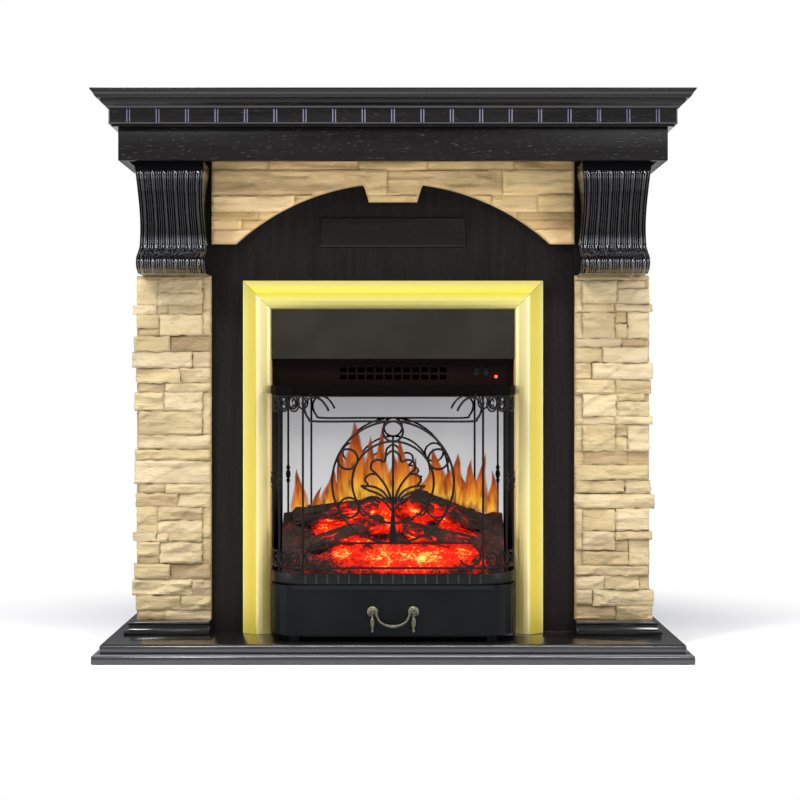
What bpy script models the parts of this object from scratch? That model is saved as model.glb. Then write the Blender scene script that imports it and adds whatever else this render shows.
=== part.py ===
"""Electric fireplace suite: a stone clad mantel surround and a free standing electric insert.

Metres, +Z up, the front faces -Y and the origin is at the middle of the underside. The surround
is a set of black veneered boards with stone cladding, a reeded corbel on each column and a
moulded mantel. The insert is a steel housing with a brass trim, a heater under a hood, a mirror
flame screen, an ember bed with logs, a scrolled guard and a drawer with a bail handle.
"""

import math

import bmesh
import bpy
from mathutils import Matrix, Vector

# Whole suite
WIDTH = 1.000
DEPTH = 0.380
HEIGHT = 0.950
BOARD = 0.016  # thickness of every board
FIT = 0.0003  # space left between pieces that touch

# Heights of the stacked parts of the surround
PLINTH_HEIGHT = 0.0225
CORBEL_HEIGHT = 0.186
FRIEZE_HEIGHT = 0.055
DENTIL_HEIGHT = 0.029
SHELF_HEIGHT = 0.031

# How far parts stand back from the outline of the shelf
BASE_STEP = 0.012
DENTIL_STEP = 0.0273
FRIEZE_STEP = 0.0415
COLUMN_STEP = 0.064
PANEL_STEP = 0.178

# Columns and stone
COLUMN_WIDTH = 0.121
COLUMN_PROUD = 0.007
STONE_BACKING = 0.0065
STONE_FACE = 0.0105
CORBEL_REACH = 0.116
CORBEL_REEDS = 6

# Arch in the lintel
ARCH_HALF = 0.273
ARCH_FOOT = 0.130  # below the underside of the frieze
ARCH_RISE = 0.106
KEY_TOP = 0.051
KEY_BOTTOM = 0.042
KEY_DROP = 0.033

# Plaque on the arch panel, as shares of the room between the insert's trim and the keystone
PLAQUE_HALF = 0.126
PLAQUE_LIFT = 0.4436
PLAQUE_SHARE = 0.3636

# Insert
INSERT_HALF = 0.2593
INSERT_HEIGHT = 0.6085
TRIM_WIDTH = 0.0503
TRIM_REACH = 0.046
HOUSING_DEPTH = 0.112
SHEET = 0.002
BOW_FRONT = 0.1455  # how far the bowed front stands out from the arch panel
BOW_FLAT = 0.150
BOW_RETURN = 0.090
BAR = 0.0019  # radius of the bars of the guard
STEM = 0.0064  # half the width of the foot of the guard's stem
MOUND = 0.036  # how far the embers rise behind the logs

BACK = DEPTH / 2
FRONT = -DEPTH / 2
BASE_TOP = 2 * BOARD
STONE_BOTTOM = BASE_TOP + PLINTH_HEIGHT
SHELF_BOTTOM = HEIGHT - SHELF_HEIGHT
DENTIL_BOTTOM = SHELF_BOTTOM - DENTIL_HEIGHT
FRIEZE_BOTTOM = DENTIL_BOTTOM - FRIEZE_HEIGHT
WEB_BOTTOM = DENTIL_BOTTOM - BOARD
STONE_TOP = FRIEZE_BOTTOM - CORBEL_HEIGHT
COLUMN_OUT = WIDTH / 2 - COLUMN_STEP
COLUMN_IN = COLUMN_OUT - COLUMN_WIDTH
PANEL = FRONT + PANEL_STEP  # front face of the arch panel
COLUMN_FACE = PANEL - COLUMN_PROUD
STONE_BACK = COLUMN_FACE - FIT
STONE_SLAB = STONE_BACK - STONE_BACKING
STONE_SIDE = COLUMN_OUT + FIT + STONE_BACKING

TRIM_IN = INSERT_HALF - TRIM_WIDTH
TRIM_TOP = BASE_TOP + INSERT_HEIGHT
HOOD_TOP = TRIM_TOP - TRIM_WIDTH
INSERT_IN = TRIM_IN - FIT
BOW = PANEL - BOW_FRONT  # front of the canopy
HOUSING_IN = INSERT_HALF - 0.0313
HOUSING_BACK = PANEL + HOUSING_DEPTH

# Heights inside the insert, up from the base and down from the trim
PAN = BASE_TOP + 0.011
TRAY_BOTTOM = BASE_TOP + 0.0961
TRAY_TOP = TRAY_BOTTOM + 0.018
CANOPY_TOP = TRIM_TOP - 0.180
CANOPY_BOTTOM = CANOPY_TOP - 0.016
HOOD_BOTTOM = CANOPY_TOP + 0.045
SCREEN = PANEL + 0.016  # front face of the flame screen
GUARD = BOW + 0.0045

parts = bpy.data.collections.new("Electric fireplace suite")
cutters = bpy.data.collections.new("Cutters")


def clear():
    """Empties the file and links the two collections."""
    for thing in list(bpy.data.objects):
        bpy.data.objects.remove(thing, do_unlink=True)
    for group in (parts, cutters):
        bpy.context.scene.collection.children.link(group)
    cutters.hide_render = True


def finish(name, colour, rough, metal=0.0):
    """A plain material."""
    made = bpy.data.materials.new(name)
    made.use_nodes = True
    shader = made.node_tree.nodes["Principled BSDF"]
    shader.inputs["Base Color"].default_value = (*colour, 1.0)
    shader.inputs["Roughness"].default_value = rough
    shader.inputs["Metallic"].default_value = metal
    made.diffuse_color = (*colour, 1.0)
    return made


OAK = ("oak", (0.020, 0.018, 0.017), 0.45)
STONE = ("stone", (0.68, 0.55, 0.36), 0.9)
BRASS = ("brass", (0.87, 0.70, 0.16), 0.3, 0.9)
BLACK = ("black", (0.022, 0.022, 0.022), 0.5)
IRON = ("iron", (0.040, 0.034, 0.028), 0.45, 0.6)
MIRROR = ("mirror", (0.72, 0.72, 0.74), 0.08, 0.8)
ANTIQUE = ("antique", (0.20, 0.17, 0.10), 0.4, 0.9)
EMBER = ("ember", (0.75, 0.07, 0.02), 0.7)
CHAR = ("char", (0.06, 0.035, 0.028), 0.85)
STEEL = ("steel", (0.45, 0.45, 0.45), 0.4, 0.9)
PLASTIC = ("plastic", (0.03, 0.03, 0.03), 0.35)
RED = ("red", (0.8, 0.02, 0.01), 0.2)


def keep(name, mesh, look, origin=(0.0, 0.0, 0.0)):
    """Puts a mesh in the suite as a named piece with its origin at a point."""
    made = bpy.data.objects.new(name, mesh)
    mesh.name = name
    mesh.transform(Matrix.Translation(-Vector(origin)))
    made.location = origin
    mesh.materials.clear()
    mesh.materials.append(finish(f"{name}_{look[0]}", *look[1:]))
    parts.objects.link(made)
    return made


def to_mesh(bm):
    """A mesh from a bmesh, with its faces turned outward."""
    bmesh.ops.recalc_face_normals(bm, faces=bm.faces)
    mesh = bpy.data.meshes.new("shape")
    bm.to_mesh(mesh)
    bm.free()
    return mesh


def joined(meshes):
    """Several meshes as one, not united."""
    bm = bmesh.new()
    for mesh in meshes:
        bm.from_mesh(mesh)
    return to_mesh(bm)


def box(x, y, z):
    """A block between pairs of bounds."""
    bm = bmesh.new()
    bmesh.ops.create_cube(bm, size=1.0)
    for v in bm.verts:
        v.co = Vector(tuple(lo + (c + 0.5) * (hi - lo) for c, (lo, hi) in zip(v.co, (x, y, z))))
    return to_mesh(bm)


def rounded(mesh, amount, pick):
    """Rounds the edges for which pick(a, b) of the end points is true."""
    bm = bmesh.new()
    bm.from_mesh(mesh)
    edges = [e for e in bm.edges if pick(e.verts[0].co, e.verts[1].co)]
    bmesh.ops.bevel(bm, geom=edges, offset=amount, segments=2, profile=0.5, affect="EDGES")
    return to_mesh(bm)


def evaluated(thing):
    """The mesh of an object with its modifiers or its curve."""
    bpy.context.view_layer.update()
    graph = bpy.context.evaluated_depsgraph_get()
    mesh = bpy.data.meshes.new_from_object(thing.evaluated_get(graph))
    bm = bmesh.new()
    bm.from_mesh(mesh)
    bmesh.ops.remove_doubles(bm, verts=bm.verts, dist=1e-6)
    bmesh.ops.dissolve_degenerate(bm, edges=bm.edges, dist=1e-7)
    return to_mesh(bm)


def combine(mesh, other, operation, itself=False):
    """One Boolean between two meshes."""
    first = bpy.data.objects.new("first", mesh)
    second = bpy.data.objects.new("second", other)
    parts.objects.link(first)
    cutters.objects.link(second)
    second.hide_render = True
    second.display_type = "WIRE"
    step = first.modifiers.new("Boolean", "BOOLEAN")
    step.operation = operation
    step.solver = "EXACT"
    step.use_self = itself
    step.object = second
    result = evaluated(first)
    for thing in (first, second):
        bpy.data.objects.remove(thing, do_unlink=True)
    return result


def cut(mesh, *others):
    return combine(mesh, joined(others), "DIFFERENCE")


def unite(mesh, *others):
    return combine(mesh, joined(others), "UNION", len(others) > 1)


def plate(outline, axis, lo, hi):
    """A flat outline made thick along an axis between two positions."""
    curve = bpy.data.curves.new("outline", "CURVE")
    curve.dimensions = "2D"
    curve.fill_mode = "BOTH"
    curve.extrude = (hi - lo) / 2
    line = curve.splines.new("POLY")
    line.points.add(len(outline) - 1)
    for point, (u, v) in zip(line.points, outline):
        point.co = (u, v, 0.0, 1.0)
    line.use_cyclic_u = True
    thing = bpy.data.objects.new("outline", curve)
    parts.objects.link(thing)
    mesh = evaluated(thing)
    bpy.data.objects.remove(thing, do_unlink=True)
    turn = {
        "X": Matrix(((0, 0, 1), (1, 0, 0), (0, 1, 0))),
        "Y": Matrix(((1, 0, 0), (0, 0, -1), (0, 1, 0))),
        "Z": Matrix.Identity(3),
    }[axis].to_4x4()
    shift = Vector([(lo + hi) / 2 if axis == name else 0.0 for name in "XYZ"])
    mesh.transform(Matrix.Translation(shift) @ turn)
    return mesh


def wire(paths, radius, sides=1, closed=False, weights=None):
    """Round bars along paths of points, each with flat ends."""
    curve = bpy.data.curves.new("wire", "CURVE")
    curve.dimensions = "3D"
    curve.bevel_depth = radius
    curve.bevel_resolution = sides
    curve.use_fill_caps = not closed
    for path in paths:
        line = curve.splines.new("POLY")
        line.points.add(len(path) - 1)
        for i, (point, place) in enumerate(zip(line.points, path)):
            point.co = (*place, 1.0)
            point.radius = weights[i] if weights else 1.0
        line.use_cyclic_u = closed
    thing = bpy.data.objects.new("wire", curve)
    parts.objects.link(thing)
    mesh = evaluated(thing)
    bpy.data.objects.remove(thing, do_unlink=True)
    return mesh


def turned(profile, place, axis="Z", steps=16):
    """A lathe turned shape from (radius, height) pairs that run from top to bottom."""
    bm = bmesh.new()
    verts = [bm.verts.new((r, 0.0, h)) for r, h in profile]
    for a, b in zip(verts, verts[1:]):
        bm.edges.new((a, b))
    mesh = bpy.data.meshes.new("profile")
    bm.to_mesh(mesh)
    bm.free()
    thing = bpy.data.objects.new("profile", mesh)
    parts.objects.link(thing)
    screw = thing.modifiers.new("Screw", "SCREW")
    screw.steps = screw.render_steps = steps
    screw.use_merge_vertices = True
    screw.merge_threshold = 1e-5
    result = evaluated(thing)
    bpy.data.objects.remove(thing, do_unlink=True)
    turn = {
        "X": Matrix.Rotation(math.pi / 2, 4, "Y"),
        "Y": Matrix.Rotation(math.pi / 2, 4, "X"),
        "Z": Matrix.Identity(4),
    }[axis]
    result.transform(Matrix.Translation(place) @ turn)
    return result


def rod(a, b, radius, sides=12):
    """A plain round rod between two points."""
    a, b = Vector(a), Vector(b)
    bm = bmesh.new()
    bmesh.ops.create_cone(
        bm, cap_ends=True, segments=sides, radius1=radius, radius2=radius, depth=(b - a).length
    )
    turn = Vector((0, 0, 1)).rotation_difference(b - a).to_matrix().to_4x4()
    bmesh.ops.transform(bm, matrix=Matrix.Translation((a + b) / 2) @ turn, verts=bm.verts)
    return to_mesh(bm)


def mirrored(mesh):
    """The same shape on the other side of the middle plane."""
    bm = bmesh.new()
    bm.from_mesh(mesh)
    bmesh.ops.scale(bm, vec=(-1, 1, 1), verts=bm.verts)
    return to_mesh(bm)


def pair(name, mesh, look, origin=(0.0, 0.0, 0.0)):
    """A right piece and the left one that mirrors it."""
    other = mirrored(mesh)
    keep(f"{name}_right", mesh, look, origin)
    keep(f"{name}_left", other, look, (-origin[0], origin[1], origin[2]))


def wobble(*seed):
    """A fixed number from 0 to 1 for a seed."""
    total = sum((i + 1.7) * 12.9898 * s for i, s in enumerate(seed, 1))
    return (math.sin(total) * 43758.5453) % 1.0


def moulding(levels, x0, x1, front, left=1, right=1):
    """A solid moulding with mitred returns and a flat back, from (height, inset) levels."""
    bm = bmesh.new()
    rows = []
    for z, inset in levels:
        a, b, c = x0 + inset * left, x1 - inset * right, front + inset
        rows.append([bm.verts.new(p) for p in ((a, c, z), (b, c, z), (b, BACK, z), (a, BACK, z))])
    edges = []
    for row in rows:
        for i in range(4):
            edges.append(bm.edges.new((row[i], row[(i + 1) % 4])))
    for k in range(len(rows) - 1):
        bmesh.ops.bridge_loops(bm, edges=edges[4 * k : 4 * k + 8])
    bmesh.ops.contextual_create(bm, geom=rows[0])
    bmesh.ops.contextual_create(bm, geom=rows[-1])
    return to_mesh(bm)


def stone_blocks(stones, wall):
    """Loose stones. wall(u, z, out) places a point that is out from the wall."""
    made = []
    for n, (u0, u1, z0, z1, out) in enumerate(stones):
        bm = bmesh.new()
        bmesh.ops.create_cube(bm, size=1.0)
        for k, v in enumerate(bm.verts):
            u = u1 if v.co.x > 0 else u0
            z = z1 if v.co.z > 0 else z0
            depth = -0.002
            if v.co.y < 0:
                depth = out * (0.62 + 0.38 * wobble(n, k, 1))
                inset = 0.0012
                u += (-inset if v.co.x > 0 else inset) * (0.4 + wobble(n, k, 2))
                z += (-inset if v.co.z > 0 else inset) * (0.4 + wobble(n, k, 3))
            v.co = wall(u, z, depth)
        made.append(to_mesh(bm))
    return joined(made)


# Stones of one panel of cladding, in millimetres: from, to, top, bottom, how far out. Widths run
# from the outer edge of the column on the left and from the inner edge on the right.
LEFT_UPPER = (
    (0, 35, 6, 50, 9), (36, 112, 6, 28, 11), (36, 112, 30, 50, 9), (114, 126, 6, 60, 6),
    (-7, 32, 51, 65, 13), (34, 52, 51, 65, 10), (54, 112, 51, 65, 12), (0, 38, 67, 90, 10),
    (40, 112, 67, 102, 11), (4, 38, 92, 103, 8), (-5, 56, 105, 130, 12), (58, 126, 105, 130, 9),
    (-8, 94, 132, 158, 12), (96, 126, 132, 158, 10), (-2, 74, 160, 184, 9), (76, 126, 160, 184, 12),
    (3, 47, 186, 200, 8), (49, 126, 186, 200, 11),
)
LEFT_LOWER = (
    (-4, 45, 202, 233, 12), (47, 112, 202, 233, 10), (114, 126, 202, 273, 6), (3, 112, 235, 274, 11),
    (1, 126, 276, 299, 9), (-3, 126, 301, 318, 12), (-4, 126, 320, 359, 10), (3, 48, 361, 375, 8),
    (50, 126, 361, 375, 11), (-2, 70, 377, 399, 12), (72, 126, 377, 399, 9),
)
RIGHT_UPPER = (
    (1, 12, 9, 61, 6), (14, 72, 9, 47, 10), (74, 120, 9, 21, 8), (74, 128, 23, 47, 12),
    (14, 68, 49, 61, 9), (70, 133, 49, 61, 13), (14, 69, 63, 107, 11), (71, 90, 63, 82, 8),
    (71, 90, 84, 107, 10), (92, 128, 63, 107, 12), (1, 12, 63, 107, 6),
)
RIGHT_MIDDLE = (
    (1, 80, 109, 122, 8), (83, 120, 109, 122, 7), (1, 47, 124, 149, 10), (49, 126, 124, 149, 12),
    (2, 28, 151, 178, 9), (31, 134, 151, 178, 12), (2, 69, 180, 203, 11), (71, 131, 180, 203, 9),
)
RIGHT_LOWER = (
    (16, 90, 303, 326, 8), (2, 126, 328, 352, 11), (2, 85, 354, 374, 10), (88, 130, 354, 376, 12),
    (0, 137, 378, 401, 11), (14, 69, 403, 440, 9), (71, 127, 403, 440, 12), (2, 12, 403, 473, 6),
    (14, 69, 443, 473, 11), (71, 133, 443, 455, 13), (71, 92, 457, 476, 8), (94, 128, 457, 500, 11),
    (14, 92, 478, 500, 10), (2, 126, 502, 518, 11), (2, 50, 520, 542, 9), (52, 110, 520, 542, 12),
    (112, 127, 520, 542, 8), (2, 29, 544, 570, 10), (32, 136, 544, 570, 12), (2, 70, 572, 594, 9),
    (73, 133, 572, 594, 12),
)
REPEAT = 394  # height of one panel of the cladding on the left
SHIFT = 195  # height from one group of stones to its repeat on the right
LINTEL = (
    (1, 51, (-313, -255, -190, -62, 98, 190, 313)),
    (53, 73, (-313, -180, 22, 160, 313)),
    (75, 117, (-313, -120, 118, 313)),
    (119, 145, (-313, -240, 0, 226, 313)),
    (147, 175, (-313, -200, 198, 313)),
)


def column_stones(stones, side, height, width):
    """Stones of one column in metres, stretched with the size of the column."""
    tall, wide = height / 0.5942, width / 0.1278
    found = []
    for u0, u1, top, bottom, out in stones:
        if top / 1000 > 0.5942 - 0.004:
            continue
        bottom = min(bottom, 594)
        a, b = u0 / 1000 * wide, u1 / 1000 * wide
        if side < 0:
            a, b = width - b, width - a
        found.append((a, b, -bottom / 1000 * tall, -top / 1000 * tall, out / 1000 * 0.95))
    return found


def build_base():
    edge = 0.004

    def front_edges(z):
        def pick(a, b):
            level = abs(a.z - z) < 1e-6 and abs(b.z - z) < 1e-6
            return level and not (a.y > BACK - 1e-6 and b.y > BACK - 1e-6)
        return pick

    half = WIDTH / 2 - 0.0025
    lower = box((-half, half), (FRONT, BACK), (0.0, BOARD - FIT))
    lower = rounded(lower, edge, front_edges(BOARD - FIT))
    keep("base_lower_board", lower, OAK)
    half -= BASE_STEP
    upper = box((-half, half), (FRONT + BASE_STEP, BACK), (BOARD, BASE_TOP - FIT))
    keep("base_upper_board", rounded(upper, edge, front_edges(BASE_TOP - FIT)), OAK)

    top = STONE_BOTTOM - FIT
    lip = PLINTH_HEIGHT * 0.29
    levels = (
        (BASE_TOP, 0.001), (BASE_TOP + 0.001, 0.0), (BASE_TOP + lip, 0.0), (BASE_TOP + lip * 1.2, 0.006),
        (top - lip * 0.9, 0.008), (top - lip * 0.65, 0.0045), (top - 0.001, 0.0045), (top, 0.0055),
    )
    front = STONE_SLAB - STONE_FACE - 0.030
    mesh = moulding(levels, COLUMN_IN, COLUMN_OUT + 0.026, front, left=0)
    pair("plinth", mesh, OAK)


def build_columns():
    z = (STONE_BOTTOM, WEB_BOTTOM - FIT)
    board = box((COLUMN_IN, COLUMN_OUT), (COLUMN_FACE, COLUMN_FACE + BOARD), z)
    pair("column_board", board, OAK)
    side = box((COLUMN_OUT - BOARD, COLUMN_OUT), (COLUMN_FACE + BOARD + FIT, BACK), z)
    pair("side_panel", side, OAK)
    rail = COLUMN_OUT - BOARD - FIT
    keep("back_rail", box((-rail, rail), (BACK - BOARD, BACK), (FRIEZE_BOTTOM - 0.080, FRIEZE_BOTTOM)), OAK)

    height = STONE_TOP - STONE_BOTTOM - FIT
    width = STONE_SIDE - COLUMN_IN
    slab = [
        (COLUMN_IN, STONE_BACK), (COLUMN_IN, STONE_SLAB), (STONE_SIDE, STONE_SLAB), (STONE_SIDE, BACK),
        (COLUMN_OUT + FIT, BACK), (COLUMN_OUT + FIT, STONE_BACK),
    ]
    for side, name in ((1, "right"), (-1, "left")):
        if side < 0:
            lower = [(a, b, c + REPEAT, d + REPEAT, e) for a, b, c, d, e in LEFT_UPPER]
            stones = LEFT_UPPER + LEFT_LOWER + tuple(lower)
        else:
            again = [(a, b, c + SHIFT, d + SHIFT, e) for a, b, c, d, e in RIGHT_UPPER if d < 108]
            again = [s for s in again if s[3] < 302]
            stones = RIGHT_UPPER + RIGHT_MIDDLE + tuple(again) + RIGHT_LOWER
        placed = column_stones(stones, side, height, width)

        def front_wall(u, z, out):
            return Vector((COLUMN_IN + u, STONE_SLAB - out, STONE_TOP - FIT + z))

        def side_wall(u, z, out):
            return Vector((STONE_SIDE + out, STONE_SLAB + 0.0005 + u, STONE_TOP - FIT + z))

        front = stone_blocks(placed, front_wall)
        courses = sorted({(c, d) for a, b, c, d, e in placed if b > width - 0.012})
        flank, last = [], 0.0
        run = BACK - STONE_SLAB - 0.001
        for n, (c, d) in enumerate(courses):
            if n and c < last - 1e-6:
                continue
            last = d
            splits = (0.0, run * (0.38 + 0.24 * wobble(n, 4, side)), run)
            for k in range(2):
                out = 0.006 + 0.008 * wobble(n, k, 6)
                flank.append((splits[k], splits[k + 1] - 0.0015, c, d, out))
        body = plate(slab, "Z", STONE_BOTTOM, STONE_TOP - FIT)
        body = combine(body, joined([front, stone_blocks(flank, side_wall)]), "UNION", True)
        keep(f"stone_{name}", mirrored(body) if side < 0 else body, STONE)


def corbel():
    """A reeded scroll bracket: a grid pushed out by its side profile and its reeds."""
    across, down = CORBEL_REEDS * 4, 17
    half = (COLUMN_WIDTH - 0.0058) / 2
    middle = COLUMN_IN + 0.0023 + half
    profile = (
        (0.0, 1.0), (0.060, 1.0), (0.062, 0.985), (0.16, 0.965), (0.28, 0.90), (0.40, 0.80), (0.52, 0.69),
        (0.62, 0.61), (0.70, 0.565), (0.755, 0.60), (0.80, 0.73), (0.845, 0.87), (0.885, 0.925),
        (0.925, 0.91), (0.96, 0.84), (0.985, 0.745), (1.0, 0.66),
    )
    rows = (0.0, 0.058, 0.064, 0.14, 0.25, 0.37, 0.49, 0.60, 0.68, 0.735, 0.78, 0.82, 0.86, 0.90, 0.94, 0.97,
            0.985, 1.0)

    def reach(t):
        for (a, va), (b, vb) in zip(profile, profile[1:]):
            if t <= b:
                return va + (vb - va) * (t - a) / (b - a)
        return profile[-1][1]

    bm = bmesh.new()
    bmesh.ops.create_grid(bm, x_segments=across, y_segments=down, size=1.0)
    top = FRIEZE_BOTTOM - FIT
    back = COLUMN_FACE - FIT
    for v in bm.verts:
        col = round((v.co.x + 1) / 2 * across)
        row = round((1 - v.co.y) / 2 * down)
        t = rows[row]
        wave = abs(math.cos(math.pi * CORBEL_REEDS * col / across))
        deep = 0.0 if t < 0.06 else 0.0052 * (1 - wave)
        edge = 0.0 if t < 0.06 else 0.0024 * math.sin(math.pi * min(1.0, (t - 0.06) / 0.7))
        v.co = Vector((
            middle + v.co.x * (half - edge),
            back - CORBEL_REACH * reach(t) + deep,
            top - t * (CORBEL_HEIGHT - 2 * FIT),
        ))
    rim = [e for e in bm.edges if e.is_boundary]
    grown = bmesh.ops.extrude_edge_only(bm, edges=rim)["geom"]
    for g in grown:
        if isinstance(g, bmesh.types.BMVert):
            g.co.y = back
    bmesh.ops.holes_fill(bm, edges=[g for g in grown if isinstance(g, bmesh.types.BMEdge)], sides=0)
    return to_mesh(bm)


def arc(cx, cz, radius, start, end, count):
    """Points on a circle between two angles in degrees."""
    step = (end - start) / count
    return [
        (cx + radius * math.cos(math.radians(start + i * step)), cz + radius * math.sin(math.radians(start + i * step)))
        for i in range(count + 1)
    ]


def build_panel():
    foot = FRIEZE_BOTTOM - ARCH_FOOT
    radius = (ARCH_HALF**2 + ARCH_RISE**2) / (2 * ARCH_RISE)
    centre = foot + ARCH_RISE - radius
    wide = COLUMN_IN - FIT
    top = WEB_BOTTOM - FIT
    opening = HOUSING_IN + 0.006
    head = TRIM_TOP - 0.014
    outline = [
        (-wide, BASE_TOP), (-opening, BASE_TOP), (-opening, head), (opening, head), (opening, BASE_TOP),
        (wide, BASE_TOP), (wide, top), (-wide, top),
    ]
    keep("arch_panel", plate(outline, "Y", PANEL, PANEL + BOARD), OAK)

    spread = math.degrees(math.asin(ARCH_HALF / radius))
    narrow = math.degrees(math.asin(KEY_TOP / radius))
    key = foot + ARCH_RISE - KEY_DROP
    edge = arc(0, centre, radius, 90 + spread, 90 + narrow, 12) + [(-KEY_BOTTOM, key), (KEY_BOTTOM, key)]
    edge += arc(0, centre, radius, 90 - narrow, 90 - spread, 12)
    edge += [(ARCH_HALF, foot - 0.02), (-ARCH_HALF, foot - 0.02)]
    stones = []
    tall, broad = (top - foot) / 0.1765, wide / 0.3135
    for z0, z1, ends in LINTEL:
        for n, (a, b) in enumerate(zip(ends, ends[1:])):
            out = 0.006 + 0.006 * wobble(z0, n, 2)
            stones.append((a / 1000 * broad + 0.001, (b - 1) / 1000 * broad, -z1 / 1000 * tall, -z0 / 1000 * tall, out))
    back = PANEL - FIT

    def wall(u, z, out):
        return Vector((u, back - 0.009 - out, top + z))

    slab = box((-wide, wide), (back - 0.009, back), (foot, top))
    slab = combine(slab, stone_blocks(stones, wall), "UNION", True)
    keep("stone_lintel", cut(slab, plate(edge, "Y", back - 0.05, back + 0.01)), STONE)

    room = key - TRIM_TOP
    z = TRIM_TOP + room * PLAQUE_LIFT
    plaque = box((-PLAQUE_HALF, PLAQUE_HALF), (back - 0.005, back), (z, z + room * PLAQUE_SHARE))
    plaque = rounded(plaque, 0.0016, lambda a, b: a.y < back - 0.004 and b.y < back - 0.004)
    keep("arch_plaque", plaque, OAK)


def build_mantel():
    half, front = WIDTH / 2 - FRIEZE_STEP, FRONT + FRIEZE_STEP
    body = box((-half, half), (front, BACK), (FRIEZE_BOTTOM, DENTIL_BOTTOM - FIT))
    inner = half - BOARD
    body = cut(body, box((-inner, inner), (front + BOARD, BACK + 0.01), (FRIEZE_BOTTOM - 0.01, WEB_BOTTOM)))
    keep("frieze", body, OAK)

    half, front, top = WIDTH / 2 - DENTIL_STEP, FRONT + DENTIL_STEP, SHELF_BOTTOM - FIT
    drop = FRIEZE_STEP - DENTIL_STEP
    levels = ((DENTIL_BOTTOM, drop), (DENTIL_BOTTOM + 0.0015, drop - 0.0005), (DENTIL_BOTTOM + 0.0035, 0.003),
              (DENTIL_BOTTOM + 0.0045, 0.0), (top, 0.0))
    body = moulding(levels, -half, half, front)
    hole = box((-half + 0.06, half - 0.06), (front + 0.06, BACK + 0.01), (DENTIL_BOTTOM - 0.01, top + 0.01))
    grooves = []
    count, pitch = 19, half * 2 / 19.35
    low = DENTIL_BOTTOM + 0.0065
    for i in range(count):
        x = (i - (count - 1) / 2) * pitch
        grooves.append(box((x - 0.0028, x + 0.0028), (front - 0.01, front + 0.0045), (low, top - 0.002)))
    deep = BACK - front
    for i in range(1, int(deep / pitch)):
        y = front + i * pitch
        for s in (-1, 1):
            ends = sorted((s * (half + 0.01), s * (half - 0.0045)))
            grooves.append(box(ends, (y - 0.0028, y + 0.0028), (low, top - 0.002)))
    keep("dentil_moulding", cut(cut(body, hole), *grooves), OAK)

    rise = SHELF_HEIGHT
    levels = (
        (SHELF_BOTTOM, DENTIL_STEP - 0.0012), (SHELF_BOTTOM + 0.05 * rise, 0.0246),
        (SHELF_BOTTOM + 0.13 * rise, 0.0238), (SHELF_BOTTOM + 0.27 * rise, 0.0178),
        (SHELF_BOTTOM + 0.33 * rise, 0.0158), (SHELF_BOTTOM + 0.48 * rise, 0.0148),
        (SHELF_BOTTOM + 0.50 * rise, 0.0100), (SHELF_BOTTOM + 0.60 * rise, 0.0072),
        (SHELF_BOTTOM + 0.78 * rise, 0.0040), (SHELF_BOTTOM + 0.93 * rise, 0.0), (HEIGHT, 0.0),
    )
    keep("mantel_shelf", moulding(levels, -WIDTH / 2, WIDTH / 2, FRONT), OAK)


def bow(half, flat, front, depth, back, count=5):
    """The plan of the bowed front, from the left back round to the right back."""
    turn = [i * math.pi / 2 / count for i in range(count + 1)]
    right = [(flat + (half - flat) * math.sin(t), front + depth * (1 - math.cos(t))) for t in turn]
    left = [(-x, y) for x, y in reversed(right)]
    return [(-half, back)] + left + right + [(half, back)]


def trim_section():
    """The folded section of the trim as (in from the outer edge, forward) points."""
    w, r = TRIM_WIDTH, TRIM_REACH
    outer = [(0, 0), (0, 0.52 * r), (0.44 * w, r), (0.56 * w, 0.99 * r), (0.70 * w, 0.95 * r),
             (0.84 * w, 0.87 * r), (0.94 * w, 0.79 * r), (w, 0.70 * r), (w, 0)]
    t = 0.0015
    inner = [(w - t, 0), (w - t, 0.68 * r), (0.83 * w, 0.87 * r - t), (0.70 * w, 0.95 * r - t),
             (0.44 * w + 0.0003, r - t), (t, 0.52 * r - t * 0.6), (t, 0)]
    return outer + inner


def spanned(a, b):
    """A bar between two matching sections."""
    bm = bmesh.new()
    verts = [bm.verts.new(p) for p in a]
    for i, v in enumerate(verts):
        bm.edges.new((v, verts[(i + 1) % len(verts)]))
    face = bmesh.ops.contextual_create(bm, geom=bm.edges[:])["faces"][0]
    grown = bmesh.ops.extrude_face_region(bm, geom=[face], use_keep_orig=True)["geom"]
    for g in grown:
        if isinstance(g, bmesh.types.BMVert):
            nearest = min(range(len(a)), key=lambda i: (Vector(a[i]) - g.co).length)
            g.co = b[nearest]
    return to_mesh(bm)


def build_trim():
    face = PANEL - FIT
    section = trim_section()
    low = [(INSERT_HALF - u, face - d, BASE_TOP) for u, d in section]
    high = [(INSERT_HALF - u, face - d, TRIM_TOP - u - FIT) for u, d in section]
    pair("trim", spanned(low, high), BRASS)
    a = [(-INSERT_HALF + u + FIT, face - d, TRIM_TOP - u) for u, d in section]
    b = [(INSERT_HALF - u - FIT, face - d, TRIM_TOP - u) for u, d in section]
    keep("trim_top", spanned(a, b), BRASS)


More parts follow.
